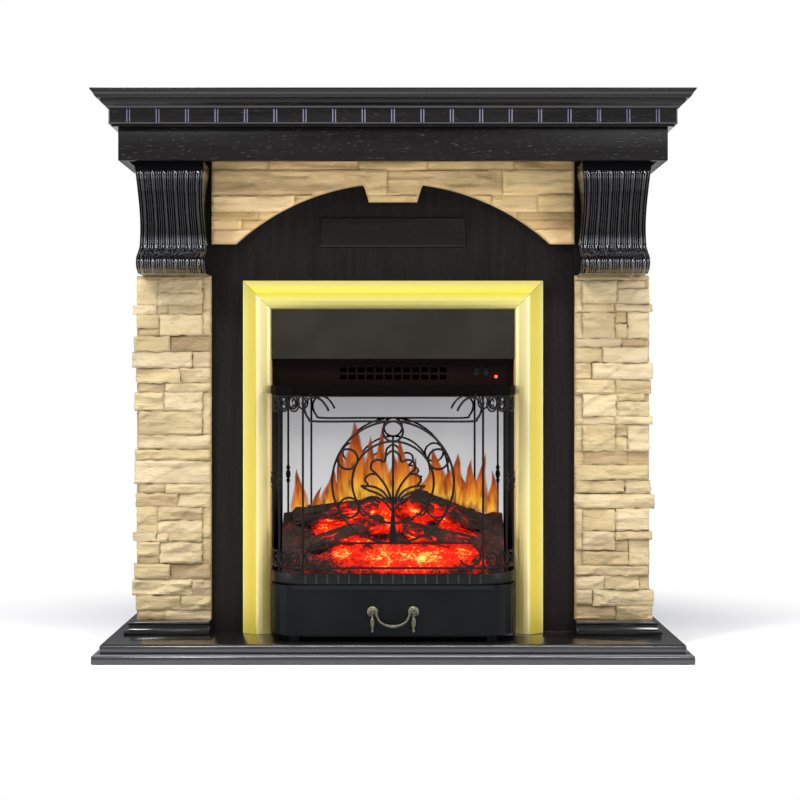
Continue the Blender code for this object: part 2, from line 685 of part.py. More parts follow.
def build_housing():
    back = HOUSING_BACK
    wide = HOUSING_IN + SHEET
    face = PANEL + FIT
    inset = INSERT_IN - 0.0025
    path = bow(inset, BOW_FLAT, BOW + 0.0075, BOW_RETURN, face)
    outline = [(-wide, back), (-wide, face)] + path + [(wide, face), (wide, back)]
    pan = plate(outline, "Z", PAN - SHEET, PAN)
    feet = []
    for s in (-1, 1):
        for y in (BOW + 0.014, back - 0.030):
            feet.append(box((s * 0.1655 - 0.008, s * 0.1655 + 0.008), (y, y + 0.018), (BASE_TOP, PAN - 0.001)))
    keep("base_pan", unite(pan, *feet), BLACK)

    top = TRIM_TOP - 0.0185
    shell = box((-wide, wide), (face, back), (PAN + FIT, top))
    hollow = box((-HOUSING_IN, HOUSING_IN), (face - 0.01, back - SHEET), (PAN - 0.01, top - SHEET))
    slots = []
    for i in range(8):
        x = (i - 3.5) * 0.040
        slots.append(box((x - 0.014, x + 0.014), (back - 0.01, back + 0.01), (top - 0.060, top - 0.054)))
        slots.append(box((x - 0.014, x + 0.014), (back - 0.01, back + 0.01), (top - 0.045, top - 0.039)))
    keep("insert_housing", cut(cut(shell, hollow), *slots), BLACK)

    gland = turned([(0, 0.018), (0.0045, 0.018), (0.006, 0.015), (0.0075, 0.014), (0.0085, 0.009),
                    (0.0085, 0.007), (0.011, 0.0065), (0.011, 0.0), (0, 0.0)], (0, 0, 0), "Z", 12)
    gland.transform(Matrix.Translation((0.170, back + FIT, PAN + 0.045)) @ Matrix.Rotation(-math.pi / 2, 4, "X"))
    keep("cable_gland", gland, PLASTIC)


def build_hood():
    face = PANEL - 0.035
    bottom, top = HOOD_BOTTOM, HOOD_TOP - FIT
    rear = PANEL - 0.0095
    fold = [(face, bottom), (rear, bottom), (rear, bottom + 0.0015), (face + SHEET, bottom + 0.0015),
            (face + SHEET, top), (face, top)]
    keep("hood_panel", plate(fold, "X", -INSERT_IN, INSERT_IN), BLACK)

    y = (PANEL - 0.0105, PANEL - 0.0085)
    low, high = CANOPY_TOP, HOOD_BOTTOM - FIT
    sheet = box((-INSERT_IN, INSERT_IN), y, (low, high))
    middle = (low + high) / 2
    mouth = ((-0.098, 0.098), (middle - 0.0175, middle + 0.0125))
    switch_z = middle + 0.0003
    lamp = (0.179, middle - 0.008)
    deep = (y[0] - 0.01, y[1] + 0.01)
    holes = [box(mouth[0], deep, mouth[1])]
    for x in SWITCHES:
        holes.append(box((x - 0.0047, x + 0.0047), deep, (switch_z - 0.008, switch_z + 0.008)))
    holes.append(rod((lamp[0], deep[0], lamp[1]), (lamp[0], deep[1], lamp[1]), 0.0032, 12))
    keep("heater_fascia", cut(sheet, *holes), BLACK)

    grille = box((mouth[0][0] + FIT, mouth[0][1] - FIT), y, (mouth[1][0] + FIT, mouth[1][1] - FIT))
    slots = []
    for i in range(12):
        x = (i - 5.5) * 0.0158
        for z in (mouth[1][0] + 0.0085, mouth[1][0] + 0.0215):
            slots.append(box((x - 0.0060, x + 0.0060), deep, (z - 0.0042, z + 0.0042)))
    keep("outlet_grille", cut(grille, *slots), BLACK)

    pivot = y[1]
    for x, name in zip(SWITCHES, ("inner", "outer")):
        shape = [(pivot + 0.004, switch_z - 0.0062), (pivot + 0.004, switch_z + 0.0062), (y[0], switch_z + 0.0070),
                 (y[0] - 0.0032, switch_z + 0.0066), (y[0] - 0.0016, switch_z), (y[0] - 0.0010, switch_z - 0.0066),
                 (y[0], switch_z - 0.0070)]
        keep(f"rocker_{name}", plate(shape, "X", x - 0.0042, x + 0.0042), PLASTIC, (x, pivot, switch_z))
    dome = turned([(0, 0.0048), (0.0016, 0.0042), (0.0026, 0.0024), (0.0028, 0.0), (0.0028, -0.006), (0, -0.006)],
                  (lamp[0], y[0], lamp[1]), "Y", 12)
    keep("indicator_lamp", dome, RED)

    path = bow(INSERT_IN, BOW_FLAT, BOW, BOW_RETURN, PANEL - 0.006)
    body = plate(path, "Z", CANOPY_BOTTOM, CANOPY_TOP - FIT)
    inner = bow(INSERT_IN - SHEET, BOW_FLAT, BOW + 0.006, BOW_RETURN - 0.003, PANEL - 0.012)
    keep("canopy_lip", cut(body, plate(inner, "Z", CANOPY_BOTTOM - 0.01, CANOPY_TOP - 0.003)), BLACK)


SWITCHES = (0.1445, 0.1615)


def flame_line(low, high, half):
    """The jagged top edge of the flame template."""
    peaks = (0.30, 0.45, 0.36, 0.95, 0.55, 0.88, 0.62, 0.70, 0.40, 0.66, 0.34)
    points = []
    step = 2 * half / len(peaks)
    for i, p in enumerate(peaks):
        x = -half + i * step
        points += [(x, low + 0.12 * (high - low)), (x + 0.38 * step, low + (0.25 + 0.4 * p) * (high - low)),
                   (x + 0.5 * step, low + p * (high - low)), (x + 0.70 * step, low + 0.5 * p * (high - low))]
    return points + [(half, low + 0.12 * (high - low))]


def build_chamber():
    low = TRAY_TOP + FIT
    wall = [(INSERT_IN, PANEL - 0.030), (INSERT_IN, PANEL + 0.003), (0.1945, SCREEN - FIT), (0.1930, SCREEN - FIT),
            (INSERT_IN - 0.0017, PANEL + 0.0022), (INSERT_IN - 0.0017, PANEL - 0.030)]
    pair("cheek", plate(wall, "Z", low, CANOPY_BOTTOM - FIT), BLACK)
    floor = TRAY_BOTTOM + 0.0035
    half = INSERT_IN - 0.0035
    keep("flame_screen", box((-half, half), (SCREEN, SCREEN + 0.003), (floor + FIT, CANOPY_BOTTOM - FIT)), MIRROR)
    y = SCREEN + 0.003 + FIT
    edge = flame_line(floor + 0.030, CANOPY_BOTTOM - 0.060, 0.185)
    outline = [(0.185, floor + FIT), (-0.185, floor + FIT)] + edge
    keep("flame_template", plate(outline, "Y", y, y + 0.0012), STEEL)

    rear = SCREEN + 0.010
    body = plate(bow(INSERT_IN, BOW_FLAT, BOW + 0.003, BOW_RETURN, rear), "Z", TRAY_BOTTOM, TRAY_TOP)
    inner = bow(INSERT_IN - 0.003, BOW_FLAT, BOW + 0.006, BOW_RETURN - 0.002, rear + 0.01)
    window = box((-0.160, 0.160), (SCREEN - 0.036, SCREEN - 0.006), (TRAY_BOTTOM - 0.01, TRAY_TOP))
    body = cut(cut(body, plate(inner, "Z", floor, TRAY_TOP + 0.01)), window)
    ribs = []
    for i in range(17):
        x = (i - 8) * 0.0182
        ribs.append(box((x - 0.0016, x + 0.0016), (BOW + 0.0012, BOW + 0.0042), (TRAY_BOTTOM + 0.0015, TRAY_TOP - 0.0015)))
    keep("ember_tray", unite(body, *ribs), BLACK)


def bed_front(x):
    """Front edge of the ember bed at a distance from the middle."""
    inner = INSERT_IN - 0.006
    if abs(x) <= BOW_FLAT:
        return BOW + 0.0085
    t = min(1.0, (abs(x) - BOW_FLAT) / (inner - BOW_FLAT))
    return BOW + 0.0085 + (BOW_RETURN - 0.006) * (1 - math.sqrt(max(0.0, 1 - t * t)))


def log_shape(a, b, radius, seed, grow=0.0):
    """A charred log: a bar of uneven thickness."""
    a, b = Vector(a), Vector(b)
    path, weights = [], []
    for i in range(7):
        t = i / 6
        sag = Vector((0, 0.004 * math.sin(5 * t + seed), 0.004 * math.sin(3.1 * t + 2 * seed)))
        path.append(tuple(a.lerp(b, t) + sag))
        swell = 0.86 + 0.2 * wobble(seed, i, 3)
        if i in (0, 6):
            swell *= 0.8
        weights.append((radius * swell + grow) / radius)
    if grow:
        reach = (b - a).normalized() * grow * 1.2
        path[0] = tuple(Vector(path[0]) - reach)
        path[-1] = tuple(Vector(path[-1]) + reach)
    return wire([path], radius, sides=2, weights=weights)


def build_fire():
    back, half = SCREEN - 0.0012, 0.187
    floor = TRAY_BOTTOM + 0.0035 + FIT
    bm = bmesh.new()
    across, deep = 22, 8
    bmesh.ops.create_grid(bm, x_segments=across, y_segments=deep, size=1.0)
    for v in bm.verts:
        i, j = round((v.co.x + 1) / 2 * across), round((v.co.y + 1) / 2 * deep)
        x, t = half * v.co.x, j / deep
        y = bed_front(x) + (back - bed_front(x)) * t
        swell = t**0.8 * (0.064 + 0.016 * math.cos(1.6 * v.co.x)) + MOUND * t**1.5 * math.exp(-((x / 0.078) ** 2))
        lump = 0.0 if i in (0, across) or j in (0, deep) else 0.009 * (wobble(i, j, 5) - 0.4)
        v.co = Vector((x, y, TRAY_TOP + 0.003 + swell + lump))
    rim = [e for e in bm.edges if e.is_boundary]
    grown = bmesh.ops.extrude_edge_only(bm, edges=rim)["geom"]
    for g in grown:
        if isinstance(g, bmesh.types.BMVert):
            g.co.z = floor
    bmesh.ops.holes_fill(bm, edges=[g for g in grown if isinstance(g, bmesh.types.BMEdge)], sides=0)
    bed = to_mesh(bm)
    seat = TRAY_TOP - 0.146
    for n, (a, b, radius) in enumerate(LOGS, 1):
        a = (a[0], SCREEN + a[1], a[2] + seat)
        b = (b[0], SCREEN + b[1], b[2] + seat)
        bed = cut(bed, log_shape(a, b, radius, n, 0.0005))
        keep(f"log_{n}", log_shape(a, b, radius, n), CHAR)
    keep("ember_bed", bed, EMBER)


# Ends of each log (from the middle, from the screen, height) and its radius
LOGS = (
    ((-0.172, -0.030, 0.214), (-0.026, -0.046, 0.262), 0.0195),
    ((0.174, -0.032, 0.212), (0.030, -0.040, 0.260), 0.0200),
    ((-0.150, -0.086, 0.182), (-0.014, -0.094, 0.222), 0.0155),
    ((0.152, -0.084, 0.180), (0.020, -0.096, 0.218), 0.0160),
)


def ring(cx, cz, radius, count=24):
    step = 2 * math.pi / count
    return [(cx + radius * math.cos(i * step), GUARD, cz + radius * math.sin(i * step)) for i in range(count)]


def both(path):
    """A path on the guard and its mirror image."""
    points = [(x, GUARD, z) for x, z in path]
    return [points, [(-x, y, z) for x, y, z in points]]


def build_guard():
    top, bottom = CANOPY_BOTTOM - FIT - BAR, TRAY_TOP + 0.0093
    upper, lower = top - 0.0425, bottom + 0.0415
    middle = (upper + lower) / 2
    big = (upper - lower) / 2
    small = big * 0.165
    inside = big - 2 * small
    span = BOW_FLAT
    bars = [[(-span, GUARD, top), (span, GUARD, top)], [(-span, GUARD, bottom), (span, GUARD, bottom)]]
    bars += [[(s * span, GUARD, TRAY_TOP + FIT), (s * span, GUARD, top + BAR)] for s in (-1, 1)]
    hook = [(0.130, upper), (0.1405, upper + 0.005), (0.1465, upper + 0.016), (0.1470, upper + 0.027),
            (0.1405, upper + 0.037), (0.1295, upper + 0.040), (0.1190, upper + 0.035), (0.1110, upper + 0.025),
            (0.1070, upper + 0.017)]
    curl = [(0.126, lower), (0.1375, lower - 0.006), (0.1455, lower - 0.018), (0.1430, lower - 0.031),
            (0.1300, lower - 0.0385), (0.1180, lower - 0.035), (0.1120, lower - 0.028)]
    bars.append([(-x, GUARD, z) for x, z in reversed(hook)] + [(x, GUARD, z) for x, z in hook])
    bars.append([(-x, GUARD, z) for x, z in reversed(curl)] + [(x, GUARD, z) for x, z in curl])
    k = big / 0.100
    leaf = [(0.002, 0.052), (0.011, 0.044), (0.014, 0.034), (0.024, 0.037), (0.034, 0.033), (0.036, 0.022),
            (0.028, 0.014), (0.038, 0.013), (0.046, 0.005), (0.041, -0.006), (0.052, -0.006), (0.040, -0.013),
            (0.022, -0.020), (0.003, -0.034)]
    vein = [(0.002, -0.030), (0.010, -0.010), (0.019, 0.004), (0.028, 0.014)]
    vein_low = [(0.002, -0.036), (0.014, -0.018), (0.027, -0.009), (0.041, -0.006)]
    scroll = [(0.002, -0.046), (0.016, -0.030), (0.034, -0.024), (0.050, -0.030), (0.0560, -0.043), (0.048, -0.054),
              (0.038, -0.050)]
    for shape in (leaf, vein, vein_low, scroll):
        bars += both([(x * k, middle + z * k) for x, z in shape])
    loops = [ring(0, middle, big, 26), ring(0, middle, inside, 20)]
    for angle in (90, 27, 153, -30, 210):
        a = math.radians(angle)
        r = inside + small
        loops.append(ring(r * math.cos(a), middle + r * math.sin(a), small, 10))
    right = [(STEM, middle - big), (STEM * 1.1, middle - 0.078 * k), (STEM * 0.72, middle - 0.060 * k),
             (STEM * 0.60, middle - 0.030 * k), (STEM * 0.42, middle + 0.045 * k)]
    stem = plate([(-x, z) for x, z in reversed(right)] + right, "Y", GUARD - BAR * 1.1, GUARD + BAR * 1.1)
    tip = rod((0, GUARD, middle + 0.044 * k), (0, GUARD, middle + inside), BAR)
    body = wire([bars[0]], BAR, 0)
    body = unite(body, wire(bars[1:], BAR, 0), wire(loops, BAR, 0, closed=True), stem, tip)
    keep("guard_centre", body, IRON)

    reach, inset = INSERT_IN - 0.0035 - span, BOW_RETURN - 0.002

    def place(t, z):
        a = math.pi / 2 * t
        return (span + reach * math.sin(a), GUARD + inset * (1 - math.cos(a)), z)

    start = 0.045
    steps = [start + (1 - start) * i / 7 for i in range(8)]
    bars = [[place(t, bottom) for t in steps]]
    for t in (0.53, 1.0):
        bars.append([place(t, TRAY_TOP + FIT), place(t, top + BAR)])
    loops = []
    for t0, t1 in ((0.05, 0.53), (0.53, 1.0)):
        for f in (0.27, 0.73):
            t = t0 + (t1 - t0) * f
            for z, s in ((top - 0.0135, 1), (bottom + 0.0135, -1)):
                size = 0.0125
                loops.append([place(t + 0.105 * math.cos(w), z + size * math.sin(w))
                              for w in (i * math.pi / 4 for i in range(8))])
    knuckles = []
    zk = middle
    for t in (0.53, 1.0):
        spot = place(t, zk)
        knuckles.append(turned([(0, 0.017), (0.0022, 0.016), (0.0036, 0.011), (0.0022, 0.007), (0.0046, 0.0),
                                (0.0022, -0.007), (0.0036, -0.011), (0.0022, -0.016), (0, -0.017)], spot, "Z", 6))
    body = wire([[place(t, top) for t in steps]], BAR, 0)
    body = unite(body, wire(bars, BAR, 0), wire(loops, BAR, 0, closed=True), *knuckles)
    pair("guard", body, IRON)


def shell(outer, inner, lo, hi):
    return plate(outer + inner[::-1], "Z", lo, hi)


def build_drawer():
    low, high = PAN + 0.0010, TRAY_BOTTOM - 0.0013
    half, front, flat, depth = INSERT_IN - 0.0037, BOW + 0.0015, 0.165, 0.060
    end = PANEL - 0.038
    wall = 0.003
    outer = bow(half, flat, front, depth, end)
    inner = bow(half - wall, flat - 0.001, front + wall, depth - wall, end)
    body = shell(outer, inner, low, high - 0.0063)
    lip = bow(half + 0.0015, flat, front - 0.0015, depth + 0.0015, end)
    body = unite(body, shell(lip, inner, high - 0.0072, high))
    keep("drawer_front", body, BLACK, (0, front, (low + high) / 2))

    y = (front + wall + FIT, SCREEN - 0.014)
    tub = box((-0.162, 0.162), y, (PAN + 2 * FIT, PAN + 0.066))
    hollow = box((-0.160, 0.160), (y[0] + 0.002, y[1] - 0.002), (PAN + 2 * FIT + 0.002, PAN + 0.080))
    keep("drawer_box", cut(tub, hollow), BLACK, (0, y[0], PAN))

    x, z, pin = 0.0341, low + 0.0393, front - 0.0080
    boss = turned([(0, 0.0105), (0.0030, 0.0102), (0.0038, 0.0085), (0.0038, 0.0055), (0.0062, 0.0045),
                   (0.0088, 0.0030), (0.0092, 0.0015), (0.0092, 0.0), (0, 0.0)], (x, front - FIT, z), "Y", 12)
    drop = turned([(0, 0.010), (0.0018, 0.009), (0.0018, 0.0), (0.0034, -0.004), (0.0044, -0.010), (0.0030, -0.016),
                   (0.0016, -0.018), (0.0026, -0.021), (0.0018, -0.0245), (0, -0.0255)],
                  (x, front - FIT - 0.0024 - 0.0025, z - 0.0095), "Z", 8)
    body = unite(boss, drop)
    bore = rod((x - 0.01, pin, z), (x + 0.01, pin, z), 0.0017, 12)
    pair("rosette", cut(body, bore), ANTIQUE)

    sweep = [(-0.0400, 0, 0), (-0.0300, 0, 0), (-0.0282, 0, -0.002), (-0.0262, -0.0010, -0.0075),
             (-0.0222, -0.002, -0.0150), (-0.0140, -0.0024, -0.0205), (-0.0060, -0.0024, -0.0230)]
    path = sweep + [(0.0, -0.0024, -0.0236)] + [(-a, b, c) for a, b, c in reversed(sweep)]
    weights = [0.75, 0.75, 1.0, 1.15, 1.25, 1.35, 1.7, 2.0, 1.7, 1.35, 1.25, 1.15, 1.0, 0.75, 0.75]
    mesh = wire([[(a, pin + b, z + c) for a, b, c in path]], 0.0017, 2, weights=weights)
    keep("bail_handle", mesh, ANTIQUE, (0, pin, z))


def build_works():
    """What drives the flames and the warm air."""
    y, z = SCREEN + 0.052, PAN + 0.060
    right = 0.166
    shaft = rod((-HOUSING_IN + FIT, y, z), (right + 0.012, y, z), 0.0025, 8)
    blades = []
    for i in range(12):
        x = -0.148 + i * 0.0262
        blade = box((x - 0.010, x + 0.010), (-0.0004, 0.0004), (0.0, 0.016))
        blade.transform(Matrix.Translation((0, y, z)) @ Matrix.Rotation(i * 2.1, 4, "X"))
        blades.append(blade)
    keep("flicker_spindle", unite(shaft, *blades), STEEL, (0, y, z))
    motor = rod((right, y, z), (HOUSING_IN - FIT, y, z), 0.015, 16)
    motor = cut(motor, rod((right - 0.01, y, z), (right + 0.014, y, z), 0.0030, 12))
    keep("spindle_motor", motor, STEEL)

    board = box((-0.150, 0.150), (SCREEN - 0.004, SCREEN + 0.026), (PAN + FIT, PAN + 0.004))
    lamps = [rod((x, SCREEN + 0.011, PAN + 0.003), (x, SCREEN + 0.011, PAN + 0.009), 0.003, 8)
             for x in (-0.135 + i * 0.030 for i in range(10))]
    keep("lamp_board", unite(board, *lamps), PLASTIC)

    foot, back = CANOPY_TOP + 0.0032, HOUSING_BACK - SHEET - FIT
    face = PANEL - 0.0080
    half = 0.112
    head = TRIM_TOP - 0.045
    cy, cz = (PANEL + back) / 2 + 0.008, HOOD_BOTTOM + 0.043
    outer = [(face, foot), (back - 0.046, foot), (back - 0.010, foot + 0.034), (back, cz - 0.010), (back, head - 0.016),
             (back - 0.016, head), (PANEL + 0.028, head), (PANEL + 0.016, head - 0.014), (PANEL + 0.016, foot + 0.034),
             (face, foot + 0.034)]
    t = 0.0015
    inner = [(face - 0.01, foot + t), (back - 0.0465, foot + t), (back - 0.0115, foot + 0.035), (back - t, cz - 0.0095),
             (back - t, head - 0.0165), (back - 0.0165, head - t), (PANEL + 0.0285, head - t),
             (PANEL + 0.016 + t, head - 0.0145), (PANEL + 0.016 + t, foot + 0.034 - t), (face - 0.01, foot + 0.034 - t)]
    duct = cut(plate(outer, "X", -half, half), plate(inner, "X", -half + t, half - t))
    intake = box((-0.095, 0.095), (PANEL + 0.032, back - 0.020), (head - 0.01, head + 0.01))
    bore = rod((half - 0.01, cy, cz), (half + 0.01, cy, cz), 0.0045, 12)
    keep("blower_duct", cut(cut(duct, intake), bore), STEEL)

    radius, reach = 0.024, half - t - 0.003
    wheel = [rod((x, cy, cz), (x + 0.0015, cy, cz), radius, 16) for x in (-reach, -0.00075, reach - 0.0015)]
    blades = []
    for i in range(10):
        blade = box((-reach + 0.0005, reach - 0.0005), (-0.0006, 0.0006), (radius - 0.008, radius - 0.0012))
        turn = Matrix.Rotation(i * 2 * math.pi / 10, 4, "X")
        blade.transform(Matrix.Translation((0, cy, cz)) @ turn)
        blades.append(blade)
    stub = rod((reach - 0.001, cy, cz), (half + 0.012, cy, cz), 0.003, 16)
    keep("blower_wheel", unite(wheel[0], *wheel[1:], *blades, stub), STEEL, (0, cy, cz))
    motor = rod((half + FIT, cy, cz), (half + 0.040, cy, cz), 0.021, 16)
    motor = cut(motor, rod((half - 0.01, cy, cz), (half + 0.015, cy, cz), 0.00335, 16))
    keep("blower_motor", motor, STEEL)

    zig = []
    n = 9
    for i in range(n):
        x = -0.088 + i * 0.022
        ends = (PANEL + 0.002, PANEL + 0.034)
        a, b = ends if i % 2 == 0 else ends[::-1]
        zig += [(x, a, foot + t + FIT + 0.0018), (x, b, foot + t + FIT + 0.0018)]
    keep("heating_element", wire([zig], 0.0018, 1), STEEL)
    x = (HOUSING_IN - 0.066, HOUSING_IN - FIT)
    keep("control_box", box(x, (PANEL + 0.006, PANEL + 0.066), (CANOPY_TOP + 0.008, CANOPY_TOP + 0.042)), PLASTIC)


def build():
    clear()
    build_base()
    build_columns()
    pair("corbel", corbel(), OAK)
    build_panel()
    build_mantel()
    build_trim()
    build_housing()
    build_hood()
    build_chamber()
    build_fire()
    build_guard()
    build_drawer()
    build_works()


build()
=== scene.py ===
"""Looks of an electric fireplace suite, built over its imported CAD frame."""

from __future__ import annotations

import logging
import math
from dataclasses import dataclass, field
from enum import Enum
from typing import Callable, Iterable, Sequence

import bmesh
import bpy
from mathutils import Matrix, Vector, noise


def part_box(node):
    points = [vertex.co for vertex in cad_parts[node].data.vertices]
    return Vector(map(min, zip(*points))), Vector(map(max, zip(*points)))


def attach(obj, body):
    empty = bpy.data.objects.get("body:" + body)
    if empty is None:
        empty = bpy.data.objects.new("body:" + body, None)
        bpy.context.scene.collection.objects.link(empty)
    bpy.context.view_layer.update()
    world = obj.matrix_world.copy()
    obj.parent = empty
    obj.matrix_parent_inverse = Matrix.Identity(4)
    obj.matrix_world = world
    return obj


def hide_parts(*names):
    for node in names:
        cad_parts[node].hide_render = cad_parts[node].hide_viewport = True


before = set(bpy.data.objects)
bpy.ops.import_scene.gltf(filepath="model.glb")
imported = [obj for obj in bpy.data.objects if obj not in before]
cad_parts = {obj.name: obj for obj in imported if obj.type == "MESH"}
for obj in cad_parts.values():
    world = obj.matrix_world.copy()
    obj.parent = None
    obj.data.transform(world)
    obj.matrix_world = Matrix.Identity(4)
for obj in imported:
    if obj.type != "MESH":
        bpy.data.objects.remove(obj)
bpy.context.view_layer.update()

LOG = logging.getLogger("suite")
Point = tuple[float, float, float]
Flat = tuple[float, float]
Colour = tuple[float, float, float]
Socket = bpy.types.NodeSocket
Shape = bmesh.types.BMesh

# The eye is 3 m before the front of the shelf, where a pixel of the picture covers 1.645 mm.
EYE_BACK = 3.19
EYE_HEIGHT = 0.462
SHELF_PLANE = 3.0
PIXEL = 1.645e-3
MIDDLE_PIXEL: Flat = (400, 384)
MERGE = 1e-6
WHITE: Colour = (1.0, 1.0, 1.0)


class Body(str, Enum):
    """Bodies of the frame that pieces ride on."""

    SUITE = "suite"
    DRAWER = "drawer"
    BAIL = "bail"


class Grain(Enum):
    """Direction in which the grain of a board runs."""

    ACROSS = (3.0, 60.0, 60.0)
    UPRIGHT = (60.0, 60.0, 3.0)


def wobble(*seed: float) -> float:
    """A fixed number from 0 to 1 for a seed.

    Args:
        seed: Any numbers.

    Returns:
        The same number each time for the same seed.
    """
    total = sum((i + 1.7) * 12.9898 * s for i, s in enumerate(seed, 1))
    return (math.sin(total) * 43758.5453) % 1.0


def kept_in(value: float, low: float = 0.0, high: float = 1.0) -> float:
    """A value kept between two limits."""
    return min(high, max(low, value))


def smoothed(points: Sequence[Point], steps: int) -> list[Point]:
    """A smooth path through points.

    Args:
        points: The points it passes.
        steps: Pieces between two points.

    Returns:
        The finer path.
    """
    last = len(points) - 1
    path: list[Point] = []
    for i in range(last):
        a, b, c, d = (Vector(points[min(max(j, 0), last)]) for j in (i - 1, i, i + 1, i + 2))
        for k in range(steps):
            t = k / steps
            p = 0.5 * (
                2 * b + (c - a) * t + (2 * a - 5 * b + 4 * c - d) * t * t
                + (3 * b - a - 3 * c + d) * t * t * t
            )
            path.append(tuple(p))
    path.append(tuple(points[-1]))
    return path


class Nodes:
    """A small builder for the nodes of one tree."""

    def __init__(self, tree: bpy.types.NodeTree) -> None:
        """Starts on a tree."""
        self.tree = tree

    def add(self, kind: str, **values: object) -> bpy.types.Node:
        """Adds a node and sets its properties and inputs.

        Args:
            kind: Type of the node.
            values: Properties by name, or inputs by their name with spaces as underscores.

        Returns:
            The node.
        """
        node = self.tree.nodes.new(kind)
        for key, value in values.items():
            if hasattr(node, key):
                setattr(node, key, value)
            else:
                node.inputs[key.replace("_", " ")].default_value = value
        return node

    def link(self, a: Socket, b: Socket) -> None:
        """Joins an output to an input."""
        self.tree.links.new(a, b)

    def place(self, scale: Point = (1.0, 1.0, 1.0)) -> Socket:
        """The object's own coordinates.

        Args:
            scale: Scale along each axis.

        Returns:
            The scaled coordinates.
        """
        source = self.add("ShaderNodeTexCoord")
        mapping = self.add("ShaderNodeMapping", Scale=scale)
        self.link(source.outputs["Object"], mapping.inputs["Vector"])
        return mapping.outputs["Vector"]

    def split(self, where: Socket) -> bpy.types.NodeOutputs:
        """The X, Y and Z of a place.

        Args:
            where: The place.

        Returns:
            Outputs by the name of the axis.
        """
        node = self.add("ShaderNodeSeparateXYZ")
        self.link(where, node.inputs[0])
        return node.outputs

    def noise(self, where: Socket, scale: float, detail: float = 4.0, rough: float = 0.5) -> Socket:
        """Noise from 0 to 1.

        Args:
            where: The place.
            scale: How fine the noise is.
            detail: How many finer layers it has.
            rough: How strong the finer layers are.

        Returns:
            The noise.
        """
        node = self.add("ShaderNodeTexNoise", Scale=scale, Detail=detail, Roughness=rough)
        self.link(where, node.inputs["Vector"])
        return node.outputs["Fac"]

    def ramp(self, value: Socket, stops: Sequence[tuple[float, Colour]]) -> Socket:
        """Colours along a value.

        Args:
            value: What picks the colour.
            stops: Positions with their colours.

        Returns:
            The colour.
        """
        node = self.add("ShaderNodeValToRGB")
        marks = node.color_ramp.elements
        marks.remove(marks[-1])
        marks[0].position = stops[0][0]
        marks[0].color = (*stops[0][1], 1.0)
        for at, colour in stops[1:]:
            marks.new(at).color = (*colour, 1.0)
        self.link(value, node.inputs["Fac"])
        return node.outputs["Color"]

    def span(self, value: Socket, low: float, high: float, start: float = 0.0, end: float = 1.0,
             soft: bool = False) -> Socket:
        """A value moved from one range to another and kept in it.

        Args:
            value: The value.
            low: Where the first range begins.
            high: Where it ends.
            start: Where the second range begins.
            end: Where it ends.
            soft: Whether both ends are eased.

        Returns:
            The moved value.
        """
        node = self.add("ShaderNodeMapRange", From_Min=low, From_Max=high, To_Min=start, To_Max=end)
        if soft:
            node.interpolation_type = "SMOOTHSTEP"
        self.link(value, node.inputs["Value"])
        return node.outputs["Result"]

    def math(self, kind: str, a: Socket, b: Socket | float) -> Socket:
        """A sum, product or other result.

        Args:
            kind: Name of the operation.
            a: The first value.
            b: The second value.

        Returns:
            The result.
        """
        node = self.add("ShaderNodeMath", operation=kind)
        self.link(a, node.inputs[0])
        if isinstance(b, (int, float)):
            node.inputs[1].default_value = b
        else:
            self.link(b, node.inputs[1])
        return node.outputs[0]

    def away(self, value: Socket, middle: float) -> Socket:
        """How far a value is from a middle."""
        return self.math("ABSOLUTE", self.math("SUBTRACT", value, middle), 0.0)

    def swing(self, value: Socket, share: float) -> Socket:
        """A share of what a value has over or under a half."""
        return self.math("MULTIPLY", self.math("SUBTRACT", value, 0.5), share)

    def mix(self, share: Socket | float, a: Socket | Colour, b: Socket | Colour,
            blend: str = "MIX") -> Socket:
        """A mix of two colours.

        Args:
            share: Share of the second colour.
            a: The first colour.
            b: The second colour.
            blend: Way of mixing.

        Returns:
            The mixed colour.
        """
        node = self.add("ShaderNodeMix", data_type="RGBA", blend_type=blend)
        if isinstance(share, float):
            node.inputs[0].default_value = share
        else:
            self.link(share, node.inputs[0])
        for socket, value in ((node.inputs[6], a), (node.inputs[7], b)):
            if isinstance(value, tuple):
                socket.default_value = (*value, 1.0)
            else:
                self.link(value, socket)
        return node.outputs[2]


class Paint(Nodes):
    """The nodes of one material."""

    def __init__(self, name: str) -> None:
        """Starts a material.

        Args:
            name: Name of the material.
        """
        self.material = bpy.data.materials.new(name)
        self.material.use_nodes = True
        super().__init__(self.material.node_tree)
        self.shader = self.tree.nodes["Principled BSDF"]
        self.output = self.tree.nodes["Material Output"]

    def bump(self, height: Socket, strength: float, distance: float) -> None:
        """Raises the surface.

        Args:
            height: The height from 0 to 1.
            strength: How strong the relief is.
            distance: Height in metres that 1 stands for.
        """
        node = self.add("ShaderNodeBump", Strength=strength, Distance=distance)
        self.link(height, node.inputs["Height"])
        self.link(node.outputs["Normal"], self.shader.inputs["Normal"])

    def set(self, **values: object) -> None:
        """Sets or links inputs of the shader.

        Args:
            values: Numbers, colours or sockets by the input's name, with spaces as underscores.
        """
        for key, value in values.items():
            socket = self.shader.inputs[key.replace("_", " ")]
            if isinstance(value, bpy.types.NodeSocket):
                self.link(value, socket)
            else:
                socket.default_value = (*value, 1.0) if isinstance(value, tuple) else value


@dataclass(frozen=True)
class Finish:
    """A finish and the material that it makes."""

    name: str

    def make(self) -> bpy.types.Material:
        """Builds the material."""
        raise NotImplementedError


# A painted band of highlight or shade along a board: its foot and top in metres, and the level painted in it.
PaintedBand = tuple[float, float, float]


